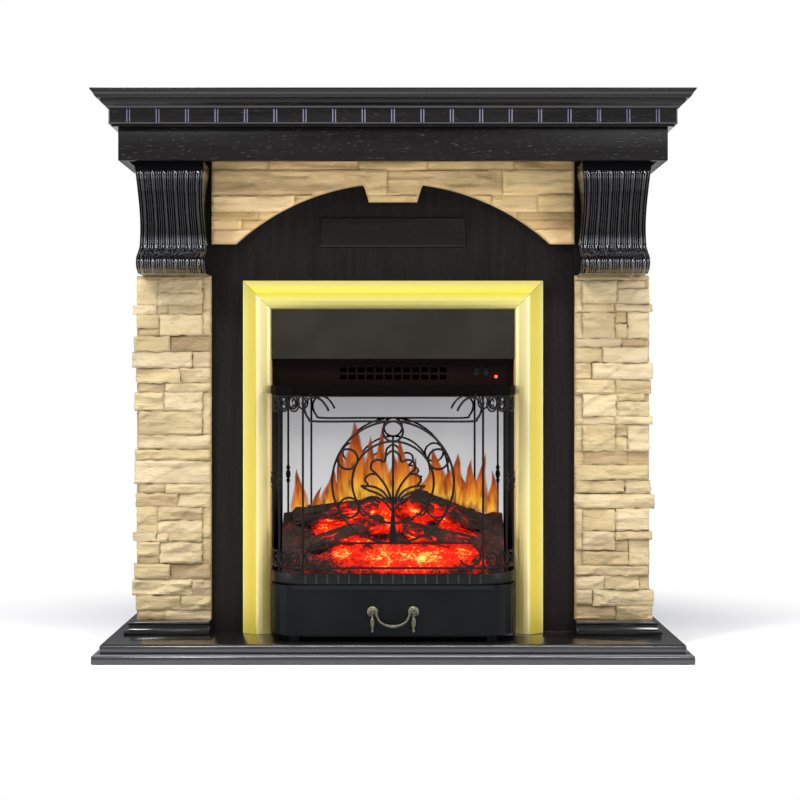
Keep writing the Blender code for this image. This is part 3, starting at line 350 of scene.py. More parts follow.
@dataclass(frozen=True)
class Oak(Finish):
    """Black stained oak veneer with fine open grain, painted highlight and shade bands along some edges, and
    painted highlights on some chamfers and beads.
    """

    name: str = "oak"
    grain: Grain = Grain.ACROSS
    dark: Colour = (0.0052, 0.0046, 0.0045)
    pale: Colour = (0.0095, 0.0086, 0.0083)
    fleck: Colour = (0.034, 0.031, 0.029)
    roughness: float = 0.36
    shine: float = 0.10
    coat: float = 0.0
    painted_bands: Sequence[PaintedBand] = ()
    # Whether the chamfer and bead faces marked in the UV map get painted highlights.
    edges: bool = False
    flecks: float = 0.0
    filler: Colour = (0.085, 0.082, 0.080)
    painted_chamfer_highlight: Colour = (0.115, 0.112, 0.165)
    painted_bead_highlight: Colour = (0.052, 0.052, 0.056)
    blur: float = 0.0004

    def make(self) -> bpy.types.Material:
        """Builds the material.

        Returns:
            The material.
        """
        n = Paint(self.name)
        where = n.place(self.grain.value)
        fine = n.noise(where, 14.0, 3.0, 0.7)
        base = n.ramp(n.noise(where, 2.2, 5.0, 0.6), ((0.3, self.dark), (0.7, self.pale)))
        base = n.mix(n.span(fine, 0.66, 0.76), base, self.fleck)
        if self.flecks:
            along = (1.0, 9.0, 9.0) if self.grain is Grain.ACROSS else (9.0, 9.0, 1.0)
            marks = n.noise(n.place(along), 90.0, 1.0, 0.5)
            base = n.mix(n.span(marks, 0.68, 0.76, 0.0, self.flecks), base, self.filler)
        # Painted highlight or shade: each band lays a flat colour along the board in place of the light or
        # shade at an edge.
        for low, high, level in self.painted_bands:
            half = (high - low) / 2
            off = n.away(n.split(n.place())["Z"], (low + high) / 2)
            inside = n.span(off, half - self.blur, half + self.blur, 1.0, 0.0)
            base = n.mix(inside, base, (level, level, level * 1.08))
        # Painted highlights: chamfer and bead faces marked in the UV map get a pale colour in place of the
        # light they would catch.
        if self.edges:
            edge = n.split(n.add("ShaderNodeUVMap", uv_map="edge_uv").outputs["UV"])
            base = n.mix(edge["X"], base, self.painted_chamfer_highlight)
            base = n.mix(edge["Y"], base, self.painted_bead_highlight)
        n.set(Base_Color=base, Roughness=n.span(fine, 0.3, 0.7, self.roughness - 0.05, self.roughness + 0.1))
        n.set(Specular_IOR_Level=self.shine, Coat_Weight=self.coat, Coat_Roughness=0.12)
        n.bump(fine, 0.12, 0.0006)
        return n.material


@dataclass(frozen=True)
class Lacquer(Finish):
    """Black lacquer on carved wood, glossiest on the scroll and under the block, and plain on the block."""

    name: str = "lacquer"
    colour: Colour = (0.0030, 0.0028, 0.0038)
    foot: float = 0.6493
    top: float = 0.8347
    gloss: Sequence[Flat] = (
        (0.0, 1.0), (0.31, 1.0), (0.35, 0.34), (0.84, 0.34), (0.87, 1.0), (0.918, 1.0), (0.930, 0.0),
    )

    def make(self) -> bpy.types.Material:
        """Builds the material.

        Returns:
            The material.
        """
        n = Paint(self.name)
        share = n.span(n.split(n.place())["Z"], self.foot, self.top)
        coat = n.ramp(share, [(at, (level, level, level)) for at, level in self.gloss])
        soft = n.noise(n.place(), 60.0, 2.0)
        n.set(Base_Color=self.colour, Specular_IOR_Level=0.03, Coat_Roughness=0.06, Coat_IOR=1.9)
        n.set(Coat_Weight=coat, Roughness=n.span(soft, 0.3, 0.7, 0.09, 0.16))
        n.bump(soft, 0.05, 0.0004)
        return n.material


@dataclass(frozen=True)
class Stone(Finish):
    """Cream cast stone with a split face. Each stone's own tint is in an attribute, with painted shade at its
    rims, in its hollows and in its joints, and painted light near the top of the columns and over the arch.
    """

    name: str = "stone"
    depth: float = 0.0042
    clouds: Sequence[tuple[float, Colour]] = (
        (0.28, (0.74, 0.70, 0.62)), (0.5, (1.0, 0.99, 0.96)), (0.75, (1.12, 1.10, 1.06)),
    )
    spot: Colour = (0.40, 0.29, 0.16)

    def make(self) -> bpy.types.Material:
        """Builds the material.

        Returns:
            The material.
        """
        n = Paint(self.name)
        tint = n.add("ShaderNodeAttribute", attribute_name="tint")
        cloud = n.noise(n.place((1.0, 1.0, 2.6)), 14.0, 5.0, 0.6)
        grit = n.noise(n.place(), 190.0, 5.0, 0.7)
        layers = n.noise(n.place((1.0, 1.0, 5.0)), 30.0, 6.0, 0.65)
        base = n.mix(1.0, tint.outputs["Color"], n.ramp(cloud, self.clouds), "MULTIPLY")
        base = n.mix(n.span(grit, 0.60, 0.78, 0.0, 0.35), base, self.spot)
        n.set(Base_Color=base, Roughness=0.88, Specular_IOR_Level=0.25)
        n.bump(n.math("ADD", layers, n.math("MULTIPLY", grit, 0.35)), 0.9, self.depth)
        return n.material


@dataclass(frozen=True)
class Metal(Finish):
    """A plain metal with faint brushing."""

    colour: Colour
    low: float = 0.25
    high: float = 0.35
    metallic: float = 1.0
    stretch: Point = (40.0, 40.0, 1.0)
    bump: float = 0.02

    def make(self) -> bpy.types.Material:
        """Builds the material.

        Returns:
            The material.
        """
        n = Paint(self.name)
        lines = n.noise(n.place(self.stretch), 20.0, 4.0, 0.6)
        wide = n.noise(n.place(), 9.0, 2.0)
        paler = tuple(min(1.0, c * 1.12) for c in self.colour)
        n.set(Base_Color=n.ramp(wide, ((0.3, self.colour), (0.7, paler))), Metallic=self.metallic)
        n.set(Roughness=n.span(lines, 0.3, 0.7, self.low, self.high))
        n.bump(lines, self.bump * 5, 0.0005)
        return n.material


@dataclass(frozen=True)
class Brass(Finish):
    """Pale polished brass whose facets tone off along one axis in painted reflections and highlight lines,
    brighter and warmer low down on the uprights in painted light against the shade there.
    """

    axis: str
    tones: Sequence[tuple[float, Colour]]
    level: float = 0.86
    painted_low_light: Colour = (1.32, 1.25, 1.04)

    def make(self) -> bpy.types.Material:
        """Builds the material.

        Returns:
            The material.
        """
        n = Paint(self.name)
        upright = self.axis == "X"
        spot = n.split(n.place())
        start, end = self.tones[0][0], self.tones[-1][0]
        off = n.span(n.math("ABSOLUTE", spot[self.axis], 0.0), start, end)
        reach = end - start
        # The tones are painted reflections on each facet and painted highlight lines at its edges and ridge.
        stops = [((at - start) / reach, tuple(c * self.level for c in tone)) for at, tone in self.tones]
        base = n.ramp(off, stops)
        # Painted light: the uprights are brighter and warmer low down, against the shade under the canopy.
        if upright:
            base = n.mix(n.span(spot["Z"], 0.05, 0.42, 1.0, 0.0), base, self.painted_low_light, "MULTIPLY")
        lines = n.noise(n.place((40.0, 40.0, 1.0) if upright else (1.0, 40.0, 40.0)), 20.0, 4.0, 0.6)
        n.set(Base_Color=base, Roughness=n.span(lines, 0.3, 0.7, 0.34, 0.44), Metallic=0.45, Coat_Weight=0.12)
        n.bump(lines, 0.08, 0.0004)
        return n.material


@dataclass(frozen=True)
class Enamel(Finish):
    """Black satin enamel or moulded plastic, with a painted highlight at its very front where a front is
    given.
    """

    name: str = "enamel"
    colour: Colour = (0.012, 0.012, 0.013)
    low: float = 0.32
    high: float = 0.42
    texture: float = 500.0
    shine: float = 0.22
    # Where the front with the painted highlight is, or None for none.
    front: float | None = None
    front_painted_highlight: float = 0.012

    def make(self) -> bpy.types.Material:
        """Builds the material.

        Returns:
            The material.
        """
        n = Paint(self.name)
        speck = n.noise(n.place(), self.texture, 2.0)
        wide = n.noise(n.place(), 12.0, 2.0)
        base = n.ramp(wide, ((0.35, self.colour), (0.7, tuple(c * 1.5 for c in self.colour))))
        # Painted highlight: the very front, such as the drawer's lip or the tray's ribs, is paler in place of
        # the light it would catch.
        if self.front is not None:
            proud = n.span(n.split(n.place())["Y"], self.front + 0.0012, self.front + 0.0003)
            base = n.mix(proud, base, tuple(self.front_painted_highlight + c * 2.0 for c in self.colour))
        n.set(Base_Color=base, Roughness=n.span(speck, 0.3, 0.7, self.low, self.high))
        n.set(Specular_IOR_Level=self.shine)
        n.bump(speck, 0.08, 0.0004)
        return n.material


@dataclass(frozen=True)
class Silvered(Finish):
    """The half silvered screen."""

    name: str = "silvered"
    tones: tuple[Colour, Colour] = ((0.60, 0.60, 0.61), (0.72, 0.72, 0.73))

    def make(self) -> bpy.types.Material:
        """Builds the material.

        Returns:
            The material.
        """
        n = Paint(self.name)
        haze = n.noise(n.place(), 6.0, 2.0)
        n.set(Base_Color=n.ramp(haze, ((0.3, self.tones[0]), (0.7, self.tones[1]))), Metallic=1.0)
        n.set(Roughness=n.span(haze, 0.3, 0.7, 0.015, 0.03))
        return n.material


@dataclass(frozen=True)
class Glow(Finish):
    """Charred matter with glowing places. Heat from 0 to 1 is in an attribute."""

    name: str = "glow"
    strength: float = 1.32
    char: Colour = (0.020, 0.0105, 0.0080)
    contrast: float = 0.92
    streaks: float = 0.32
    under: Colour = (0.009, 0.0006, 0.0003)
    heats: Sequence[tuple[float, Colour]] = (
        (0.28, (0.0, 0.0, 0.0)), (0.38, (0.13, 0.003, 0.002)), (0.50, (0.62, 0.008, 0.003)),
        (0.68, (0.95, 0.018, 0.004)), (0.82, (1.0, 0.085, 0.010)), (0.92, (1.0, 0.32, 0.030)),
        (1.00, (1.0, 0.72, 0.16)),
    )

    def make(self) -> bpy.types.Material:
        """Builds the material.

        Returns:
            The material.
        """
        n = Paint(self.name)
        heat = n.add("ShaderNodeAttribute", attribute_name="ember_level").outputs["Fac"]
        veins = n.noise(n.place(), 46.0, 8.0, 0.62)
        fine = n.noise(n.place((1.0, 1.0, 1.8)), 150.0, 4.0, 0.6)
        level = n.math("ADD", heat, n.swing(veins, self.contrast))
        level = n.math("ADD", level, n.swing(fine, 0.34))
        near = n.away(n.noise(n.place((1.0, 1.0, 1.4)), 60.0, 5.0, 0.6), 0.5)
        level = n.math("ADD", level, n.math("MULTIPLY", n.span(near, 0.0, 0.026, 1.0, 0.0), self.streaks))
        charred = n.ramp(veins, ((0.35, self.char), (0.7, tuple(c * 2.2 for c in self.char))))
        n.set(Base_Color=n.mix(n.span(level, 0.26, 0.42), charred, self.under))
        n.set(Emission_Color=n.ramp(level, self.heats), Emission_Strength=self.strength)
        n.set(Roughness=0.75, Specular_IOR_Level=0.12)
        n.bump(n.math("ADD", veins, fine), 0.6, 0.004)
        return n.material


@dataclass(frozen=True)
class Flame(Finish):
    """Light of one flame, yellow below and dark red at the tip, fading at its edges."""

    name: str = "flame"
    strength: float = 1.0
    tones: Sequence[tuple[float, Colour]] = (
        (0.00, (0.50, 0.17, 0.02)), (0.15, (0.88, 0.46, 0.05)), (0.32, (0.76, 0.25, 0.026)),
        (0.54, (0.56, 0.12, 0.017)), (0.80, (0.27, 0.040, 0.011)),
    )
    thread: Colour = (0.15, 0.034, 0.011)
    rim: Colour = (0.34, 0.060, 0.012)

    def make(self) -> bpy.types.Material:
        """Builds the material.

        Returns:
            The material.
        """
        n = Paint(self.name)
        spot = n.split(n.add("ShaderNodeUVMap", uv_map="flame_uv").outputs["UV"])
        streak = n.noise(n.place((30.0, 30.0, 5.0)), 7.0, 4.0, 0.6)
        threads = n.noise(n.place((26.0, 26.0, 5.0)), 4.0, 2.0, 0.5)
        up = n.math("ADD", spot["Y"], n.swing(streak, 0.55))
        across = n.away(spot["X"], 0.5)
        colour = n.mix(n.span(threads, 0.50, 0.66, 0.0, 0.80), n.ramp(up, self.tones), self.thread)
        colour = n.mix(n.span(across, 0.20, 0.46, 0.0, 0.85), colour, self.rim)
        side = n.span(across, 0.26, 0.5, 1.0, 0.0)
        tip = n.span(spot["Y"], 0.80, 1.0, 1.0, 0.35)
        foot = n.span(spot["Y"], 0.0, 0.10, 0.5, 1.0)
        n.set(Emission_Color=colour, Alpha=n.math("MULTIPLY", n.math("MULTIPLY", side, tip), foot))
        n.set(Base_Color=(0.02, 0.01, 0.0), Emission_Strength=self.strength)
        n.set(Roughness=0.6, Specular_IOR_Level=0.0)
        n.material.surface_render_method = "BLENDED"
        return n.material


@dataclass(frozen=True)
class Lit(Finish):
    """A small lit lens."""

    name: str = "lit"
    colour: Colour = (1.0, 0.03, 0.02)
    strength: float = 2.5

    def make(self) -> bpy.types.Material:
        """Builds the material.

        Returns:
            The material.
        """
        n = Paint(self.name)
        cells = n.noise(n.place(), 900.0, 2.0)
        pale = tuple(min(1.0, c + 0.15) for c in self.colour)
        n.set(Base_Color=self.colour, Emission_Color=n.ramp(cells, ((0.4, self.colour), (0.7, pale))))
        n.set(Emission_Strength=self.strength, Roughness=0.2)
        return n.material


class Kit:
    """Shared making of pieces."""

    made: dict[str, bpy.types.Material] = {}

    @classmethod
    def material(cls, finish: Finish) -> bpy.types.Material:
        """The material of a finish, made once.

        Args:
            finish: The finish.

        Returns:
            The material.
        """
        name = finish.name
        if name not in cls.made:
            cls.made[name] = finish.make()
            cls.made[name].name = name
        return cls.made[name]

    @classmethod
    def piece(
        cls,
        name: str,
        bm: Shape,
        finish: Finish,
        slot: str,
        body: Body = Body.SUITE,
        replaces: Iterable[str] = (),
        smooth: float | None = 0.6,
        outward: bool = True,
    ) -> bpy.types.Object:
        """Makes a riding piece from a bmesh.

        Args:
            name: Name of the piece.
            bm: Its shape, in the frame's coordinates. It is freed.
            finish: Its finish.
            slot: The record's material slot. It is not used.
            body: The body it rides on.
            replaces: CAD nodes that it stands for.
            smooth: Angle in radians under which edges are shaded smooth, or None for flat.
            outward: Whether the faces are turned outward here.

        Returns:
            The object.
        """
        if outward:
            bmesh.ops.recalc_face_normals(bm, faces=bm.faces)
        mesh = bpy.data.meshes.new(name)
        for face in bm.faces:
            face.smooth = smooth is not None
        if smooth is not None:
            for edge in bm.edges:
                if len(edge.link_faces) == 2 and edge.calc_face_angle(0.0) > smooth:
                    edge.smooth = False
        bm.to_mesh(mesh)
        bm.free()
        thing = bpy.data.objects.new(name, mesh)
        bpy.context.scene.collection.objects.link(thing)
        mesh.materials.append(cls.material(finish))
        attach(thing, body.value)
        names = list(replaces)
        if names:
            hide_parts(*names)
        LOG.info("made piece %s", name)
        return thing

    @classmethod
    def dress(cls, finish: Finish, *nodes: str) -> None:
        """Gives CAD nodes a finish.

        Args:
            finish: The finish.
            nodes: Names of the nodes.
        """
        for name in nodes:
            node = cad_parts[name]
            node.data.materials.clear()
            node.data.materials.append(cls.material(finish))


class Assembly:
    """A sub-assembly of the suite."""

    def dress(self) -> None:
        """Gives CAD nodes their finishes, where the assembly has some that keep their shape."""

    def build(self) -> None:
        """Builds finer pieces, where the assembly has some."""


def wire_bmesh(paths: Sequence[Sequence[Point]], radius: float, sides: int = 2, closed: bool = False,
               weights: Sequence[float] | None = None) -> Shape:
    """Round bars along paths.

    Args:
        paths: Points of each bar.
        radius: Radius of the bars.
        sides: Fineness of the section.
        closed: Whether each bar closes on itself.
        weights: Radius of each point, as a share.

    Returns:
        The bars as a bmesh.
    """
    curve = bpy.data.curves.new("bars", "CURVE")
    curve.dimensions = "3D"
    curve.bevel_depth = radius
    curve.bevel_resolution = sides
    curve.use_fill_caps = not closed
    for path in paths:
        line = curve.splines.new("POLY")
        line.points.add(len(path) - 1)
        for i, (point, spot) in enumerate(zip(line.points, path)):
            point.co = (*spot, 1.0)
            point.radius = weights[i] if weights else 1.0
        line.use_cyclic_u = closed
    thing = bpy.data.objects.new("bars", curve)
    bpy.context.scene.collection.objects.link(thing)
    bpy.context.view_layer.update()
    mesh = bpy.data.meshes.new_from_object(thing.evaluated_get(bpy.context.evaluated_depsgraph_get()))
    bm = bmesh.new()
    bm.from_mesh(mesh)
    bmesh.ops.remove_doubles(bm, verts=bm.verts, dist=MERGE)
    bpy.data.objects.remove(thing, do_unlink=True)
    bpy.data.curves.remove(curve)
    bpy.data.meshes.remove(mesh)
    return bm


def turned_bmesh(profile: Sequence[Flat], steps: int) -> Shape:
    """A lathe turned shape about Z.

    Args:
        profile: (radius, height) pairs from top to bottom, both ends on the axis.
        steps: Steps round.

    Returns:
        The closed shape.
    """
    bm = bmesh.new()
    verts = [bm.verts.new((r, 0.0, h)) for r, h in profile]
    edges = [bm.edges.new(pair) for pair in zip(verts, verts[1:])]
    bmesh.ops.spin(bm, geom=verts + edges, axis=(0, 0, 1), cent=(0, 0, 0), steps=steps, angle=2 * math.pi)
    bmesh.ops.remove_doubles(bm, verts=bm.verts, dist=MERGE)
    return bm


def eased_copy(name: str, width: float, sharpest: float) -> Shape:
    """A CAD node's shape with its sharp edges eased.

    Args:
        name: Name of the node.
        width: Width of the eased edges.
        sharpest: Angle in radians past which an edge is sharp.

    Returns:
        The eased shape.
    """
    bm = bmesh.new()
    bm.from_mesh(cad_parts[name].data)
    bmesh.ops.remove_doubles(bm, verts=bm.verts, dist=MERGE)
    bmesh.ops.dissolve_limit(bm, angle_limit=0.01, verts=bm.verts, edges=bm.edges)
    sharp = [e for e in bm.edges if len(e.link_faces) == 2 and e.calc_face_angle(0.0) > sharpest]
    bmesh.ops.bevel(bm, geom=sharp, offset=width, segments=2, profile=0.5, affect="EDGES", clamp_overlap=True,
                    material=-1)
    return bm


def drawn_out(outline: Iterable[Point], axis: int, end: float) -> Shape:
    """A block drawn out from a flat outline along one axis.

    Args:
        outline: Corners of its first face.
        axis: 0, 1 or 2 for X, Y or Z.
        end: Where its last face stands on this axis.

    Returns:
        The closed block.
    """
    bm = bmesh.new()
    face = bm.faces.new([bm.verts.new(corner) for corner in outline])
    for part in bmesh.ops.extrude_face_region(bm, geom=[face], use_keep_orig=True)["geom"]:
        if isinstance(part, bmesh.types.BMVert):
            part.co[axis] = end
    return bm


def close_behind(bm: Shape, move: Callable[[bmesh.types.BMVert], None]) -> None:
    """Draws the rim of a sheet back and closes it behind.

    Args:
        bm: The sheet.
        move: Puts a new point of the rim in its place.
    """
    grown = bmesh.ops.extrude_edge_only(bm, edges=[e for e in bm.edges if e.is_boundary])["geom"]
    for part in grown:
        if isinstance(part, bmesh.types.BMVert):
            move(part)
    back = [part for part in grown if isinstance(part, bmesh.types.BMEdge) and part.is_boundary]
    bmesh.ops.holes_fill(bm, edges=back, sides=0)


def merged(parts: Iterable[Shape]) -> Shape:
    """Several shapes as one.

    Args:
        parts: The shapes. They are freed.

    Returns:
        The one shape.
    """
    whole = bmesh.new()
    for part in parts:
        mesh = bpy.data.meshes.new("part")
        part.to_mesh(mesh)
        part.free()
        whole.from_mesh(mesh)
        bpy.data.meshes.remove(mesh)
    return whole


@dataclass
class Surround(Assembly):
    """Black boards and mouldings of the surround.

    The chamfers of the moulding's blocks are outlines in shares of their width, on its front and its ends.
    """

    eased: dict[str, float] = field(
        default_factory=lambda: {
            "base_lower_board": 0.0016, "base_upper_board": 0.0022, "plinth_left": 0.0012,
            "plinth_right": 0.0012, "arch_plaque": 0.0012, "frieze": 0.0008, "mantel_shelf": 0.0008,
        }
    )
    upright: Sequence[str] = (
        "column_board_left", "column_board_right", "side_panel_left", "side_panel_right", "arch_panel",
    )
    corner: float = 0.5
    grooves: int = 19
    pitches: float = 19.35
    groove: float = 0.0011
    proud: float = 0.0045
    chamfer: float = 0.0024
    front_chamfer: Sequence[Flat] = ((1.0, 0.0), (0.84, 0.04), (0.10, 0.62), (0.0, 0.74))
    side_chamfer: Sequence[Flat] = ((0.66, 0.0), (0.25, 0.42), (0.0, 1.0))
    block_foot: float = 0.0065
    bead: float = 0.0022
    cove: float = 0.0135
    bar: float = 0.05

    def dress(self) -> None:
        """Gives the plain boards their veneer."""
        veneer = Oak("oak_upright", Grain.UPRIGHT, (0.0078, 0.0068, 0.0064), (0.0135, 0.0120, 0.0112),
                     flecks=0.22)
        Kit.dress(veneer, *self.upright)
        Kit.dress(Oak("oak_rail"), "back_rail")

    def finishes(self) -> dict[str, Oak]:
        """The finishes of the eased boards, with painted highlight and shade bands where an edge would catch
        light or fall in shade.

        Returns:
            Each finish by the name of its board.
        """
        low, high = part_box("arch_plaque")
        # The plaque gets a painted highlight along its lower rim and painted shade along its upper rim.
        painted_rims = ((low.z - 0.0004, low.z + 0.0012, 0.045), (high.z - 0.0010, high.z + 0.0004, 0.001))
        plaque = Oak("oak_plaque", Grain.ACROSS, (0.0072, 0.0062, 0.0058), (0.0125, 0.0112, 0.0104),
                     flecks=0.3, painted_bands=painted_rims)
        # The shelf's bands are painted highlight lines under its top edge and along a lower moulding.
        shelf = Oak("oak_polished", roughness=0.16, shine=0.20, coat=0.20,
                    painted_bands=((0.9402, 0.9432, 0.040), (0.9206, 0.9232, 0.050)))
        plinth = Oak("oak_glossy", roughness=0.18, shine=0.5, coat=0.5)
        # The base's bands are painted light on its two board fronts and a painted highlight on the ledge
        # between them.
        base = Oak("oak_base", roughness=0.18, shine=0.5, coat=0.5, flecks=0.3,
                   painted_bands=((0.0005, 0.0135, 0.031), (0.0138, 0.0158, 0.130), (0.0172, 0.0292, 0.028)))
        return {
            "base_lower_board": base, "base_upper_board": base, "plinth_left": plinth, "plinth_right": plinth,
            "arch_plaque": plaque, "frieze": Oak("oak_across", flecks=0.75), "mantel_shelf": shelf,
        }

    def build(self) -> None:
        """Eases the edges of the boards that are seen most, and builds the dentil moulding."""
        finishes = self.finishes()
        for name, width in self.eased.items():
            bm = eased_copy(name, width, self.corner)
            Kit.piece(f"{name}_eased", bm, finishes[name], "black_oak", replaces=[name], smooth=0.5)
        self.moulding()

    def moulding(self) -> None:
        """Builds the dentil moulding: a lipped bar with a block between each two grooves."""
        low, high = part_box("dentil_moulding")
        half, front, foot = high.x, low.y, low.z + self.block_foot
        pitch = half * 2 / self.pitches
        parts = [self.lip(half - self.proud, front + self.proud, low.z, high.z, high.y)]
        marks = [(i - (self.grooves - 1) / 2) * pitch for i in range(self.grooves)]
        for x0, x1 in self.between([-half, *marks, half]):
            corners = self.front_block(x0, x1, front, front + self.proud + 0.001)
            parts.append(self.dentil(corners, foot, high.z))
        marks = [front + i * pitch for i in range(1, int((high.y - front) / pitch))]
        for y0, y1 in self.between([front + self.proud + 0.0012, *marks, high.y]):
            for side in (-1, 1):
                corners = self.side_block(y0, y1, side * half, side * (half - self.proud - 0.001), side)
                parts.append(self.dentil(corners, foot, high.z))
        lower = self.lip(half, front, low.z, foot - self.bead, high.y)
        for v in lower.verts:
            if v.co.z < low.z + 0.0001:
                v.co.x *= (half - self.cove) / half
                v.co.y = max(v.co.y, front + self.cove)
        parts += [lower, self.lip(half, front, foot - self.bead, foot, high.y, True)]
        # The dentil finish paints highlights on the blocks' side chamfers and on the bright lip's upright
        # faces.
        finish = Oak("oak_dentil", Grain.ACROSS, (0.0078, 0.0072, 0.0072), (0.0140, 0.0130, 0.0128),
                     roughness=0.16, shine=0.22, coat=0.2, edges=True, flecks=0.5)
        Kit.piece("dentil_blocks", merged(parts), finish, "black_oak", replaces=["dentil_moulding"],
                  smooth=None, outward=False)

    def between(self, marks: Sequence[float]) -> list[Flat]:
        """Runs between grooves.

        Args:
            marks: Both ends of a row, with the middles of its grooves between them.

        Returns:
            Start and end of each run.
        """
        last = len(marks) - 2
        runs = []
        for n, (a, b) in enumerate(zip(marks, marks[1:])):
            runs.append((a + (self.groove if n else 0.0), b - (self.groove if n < last else 0.0)))
        return runs

    def front_block(self, x0: float, x1: float, face: float, back: float) -> list[Flat]:
        """Outline of a block on the front, with broad chamfers.

        Args:
            x0: Its left side.
            x1: Its right side.
            face: Where its face is.
            back: Where it ends behind.

        Returns:
            Corners (x, y).
        """
        e = self.chamfer
        left = [(x0 + a * e, face + b * e) for a, b in reversed(self.front_chamfer)]
        right = [(x1 - a * e, face + b * e) for a, b in self.front_chamfer]
        return [(x0, back), *left, *right, (x1, back)]

    def side_block(self, y0: float, y1: float, face: float, inner: float, side: int) -> list[Flat]:
        """Outline of a block on one end of the moulding, with broad chamfers.

        Args:
            y0: Its front.
            y1: Its back.
            face: Where its face is.
            inner: Where it ends inside.
            side: -1 for the left end and 1 for the right.

        Returns:
            Corners (x, y).
        """
        e = self.chamfer
        near = [(face - side * a * e, y0 + b * e) for a, b in self.side_chamfer]
        far = [(face - side * a * e, y1 - b * e) for a, b in reversed(self.side_chamfer)]
        return [(inner, y0), *near, *far, (inner, y1)]

    def marked(self, bm: Shape, mark: Callable[[Vector], Flat]) -> Shape:
        """Turns a block's faces outward and marks those that get a painted highlight.

        Args:
            bm: The block.
            mark: Marks a face for the painted highlight of a chamfer and of a bead, from 0 to 1, by its
                normal.

        Returns:
            The same block.
        """
        bmesh.ops.recalc_face_normals(bm, faces=bm.faces)
        layer = bm.loops.layers.uv.new("edge_uv")
        for face in bm.faces:
            for loop in face.loops:
                loop[layer].uv = mark(face.normal)
        return bm

    def dentil(self, corners: Sequence[Flat], foot: float, top: float) -> Shape:
        """Makes one block.

        Args:
            corners: Corners (x, y) of its outline.
            foot: Its foot.
            top: Its top.

        Returns:
            The closed block.
        """
        bm = drawn_out([(x, y, foot) for x, y in corners], 2, top)
        return self.marked(bm, lambda n: (1.0 if min(abs(n.x), abs(n.y)) > 0.35 else 0.0, 0.0))

    def lip(self, half: float, front: float, foot: float, top: float, back: float,
            bright: bool = False) -> Shape:
        """Makes a plain run round the front and sides, open behind.

        Args:
            half: Half its width.
            front: Where its front is.
            foot: Its foot.
            top: Its top.
            back: Where it ends behind.
            bright: Whether its upright faces get a painted highlight.

        Returns:
            The closed run.
        """
        inner = half - self.bar
        plan = [(-half, back), (-half, front), (half, front), (half, back), (inner, back),
                (inner, front + self.bar), (-inner, front + self.bar), (-inner, back)]
        bm = drawn_out([(x, y, foot) for x, y in plan], 2, top)
        return self.marked(bm, lambda n: (0.0, 1.0 if bright and abs(n.z) < 0.5 else 0.0))


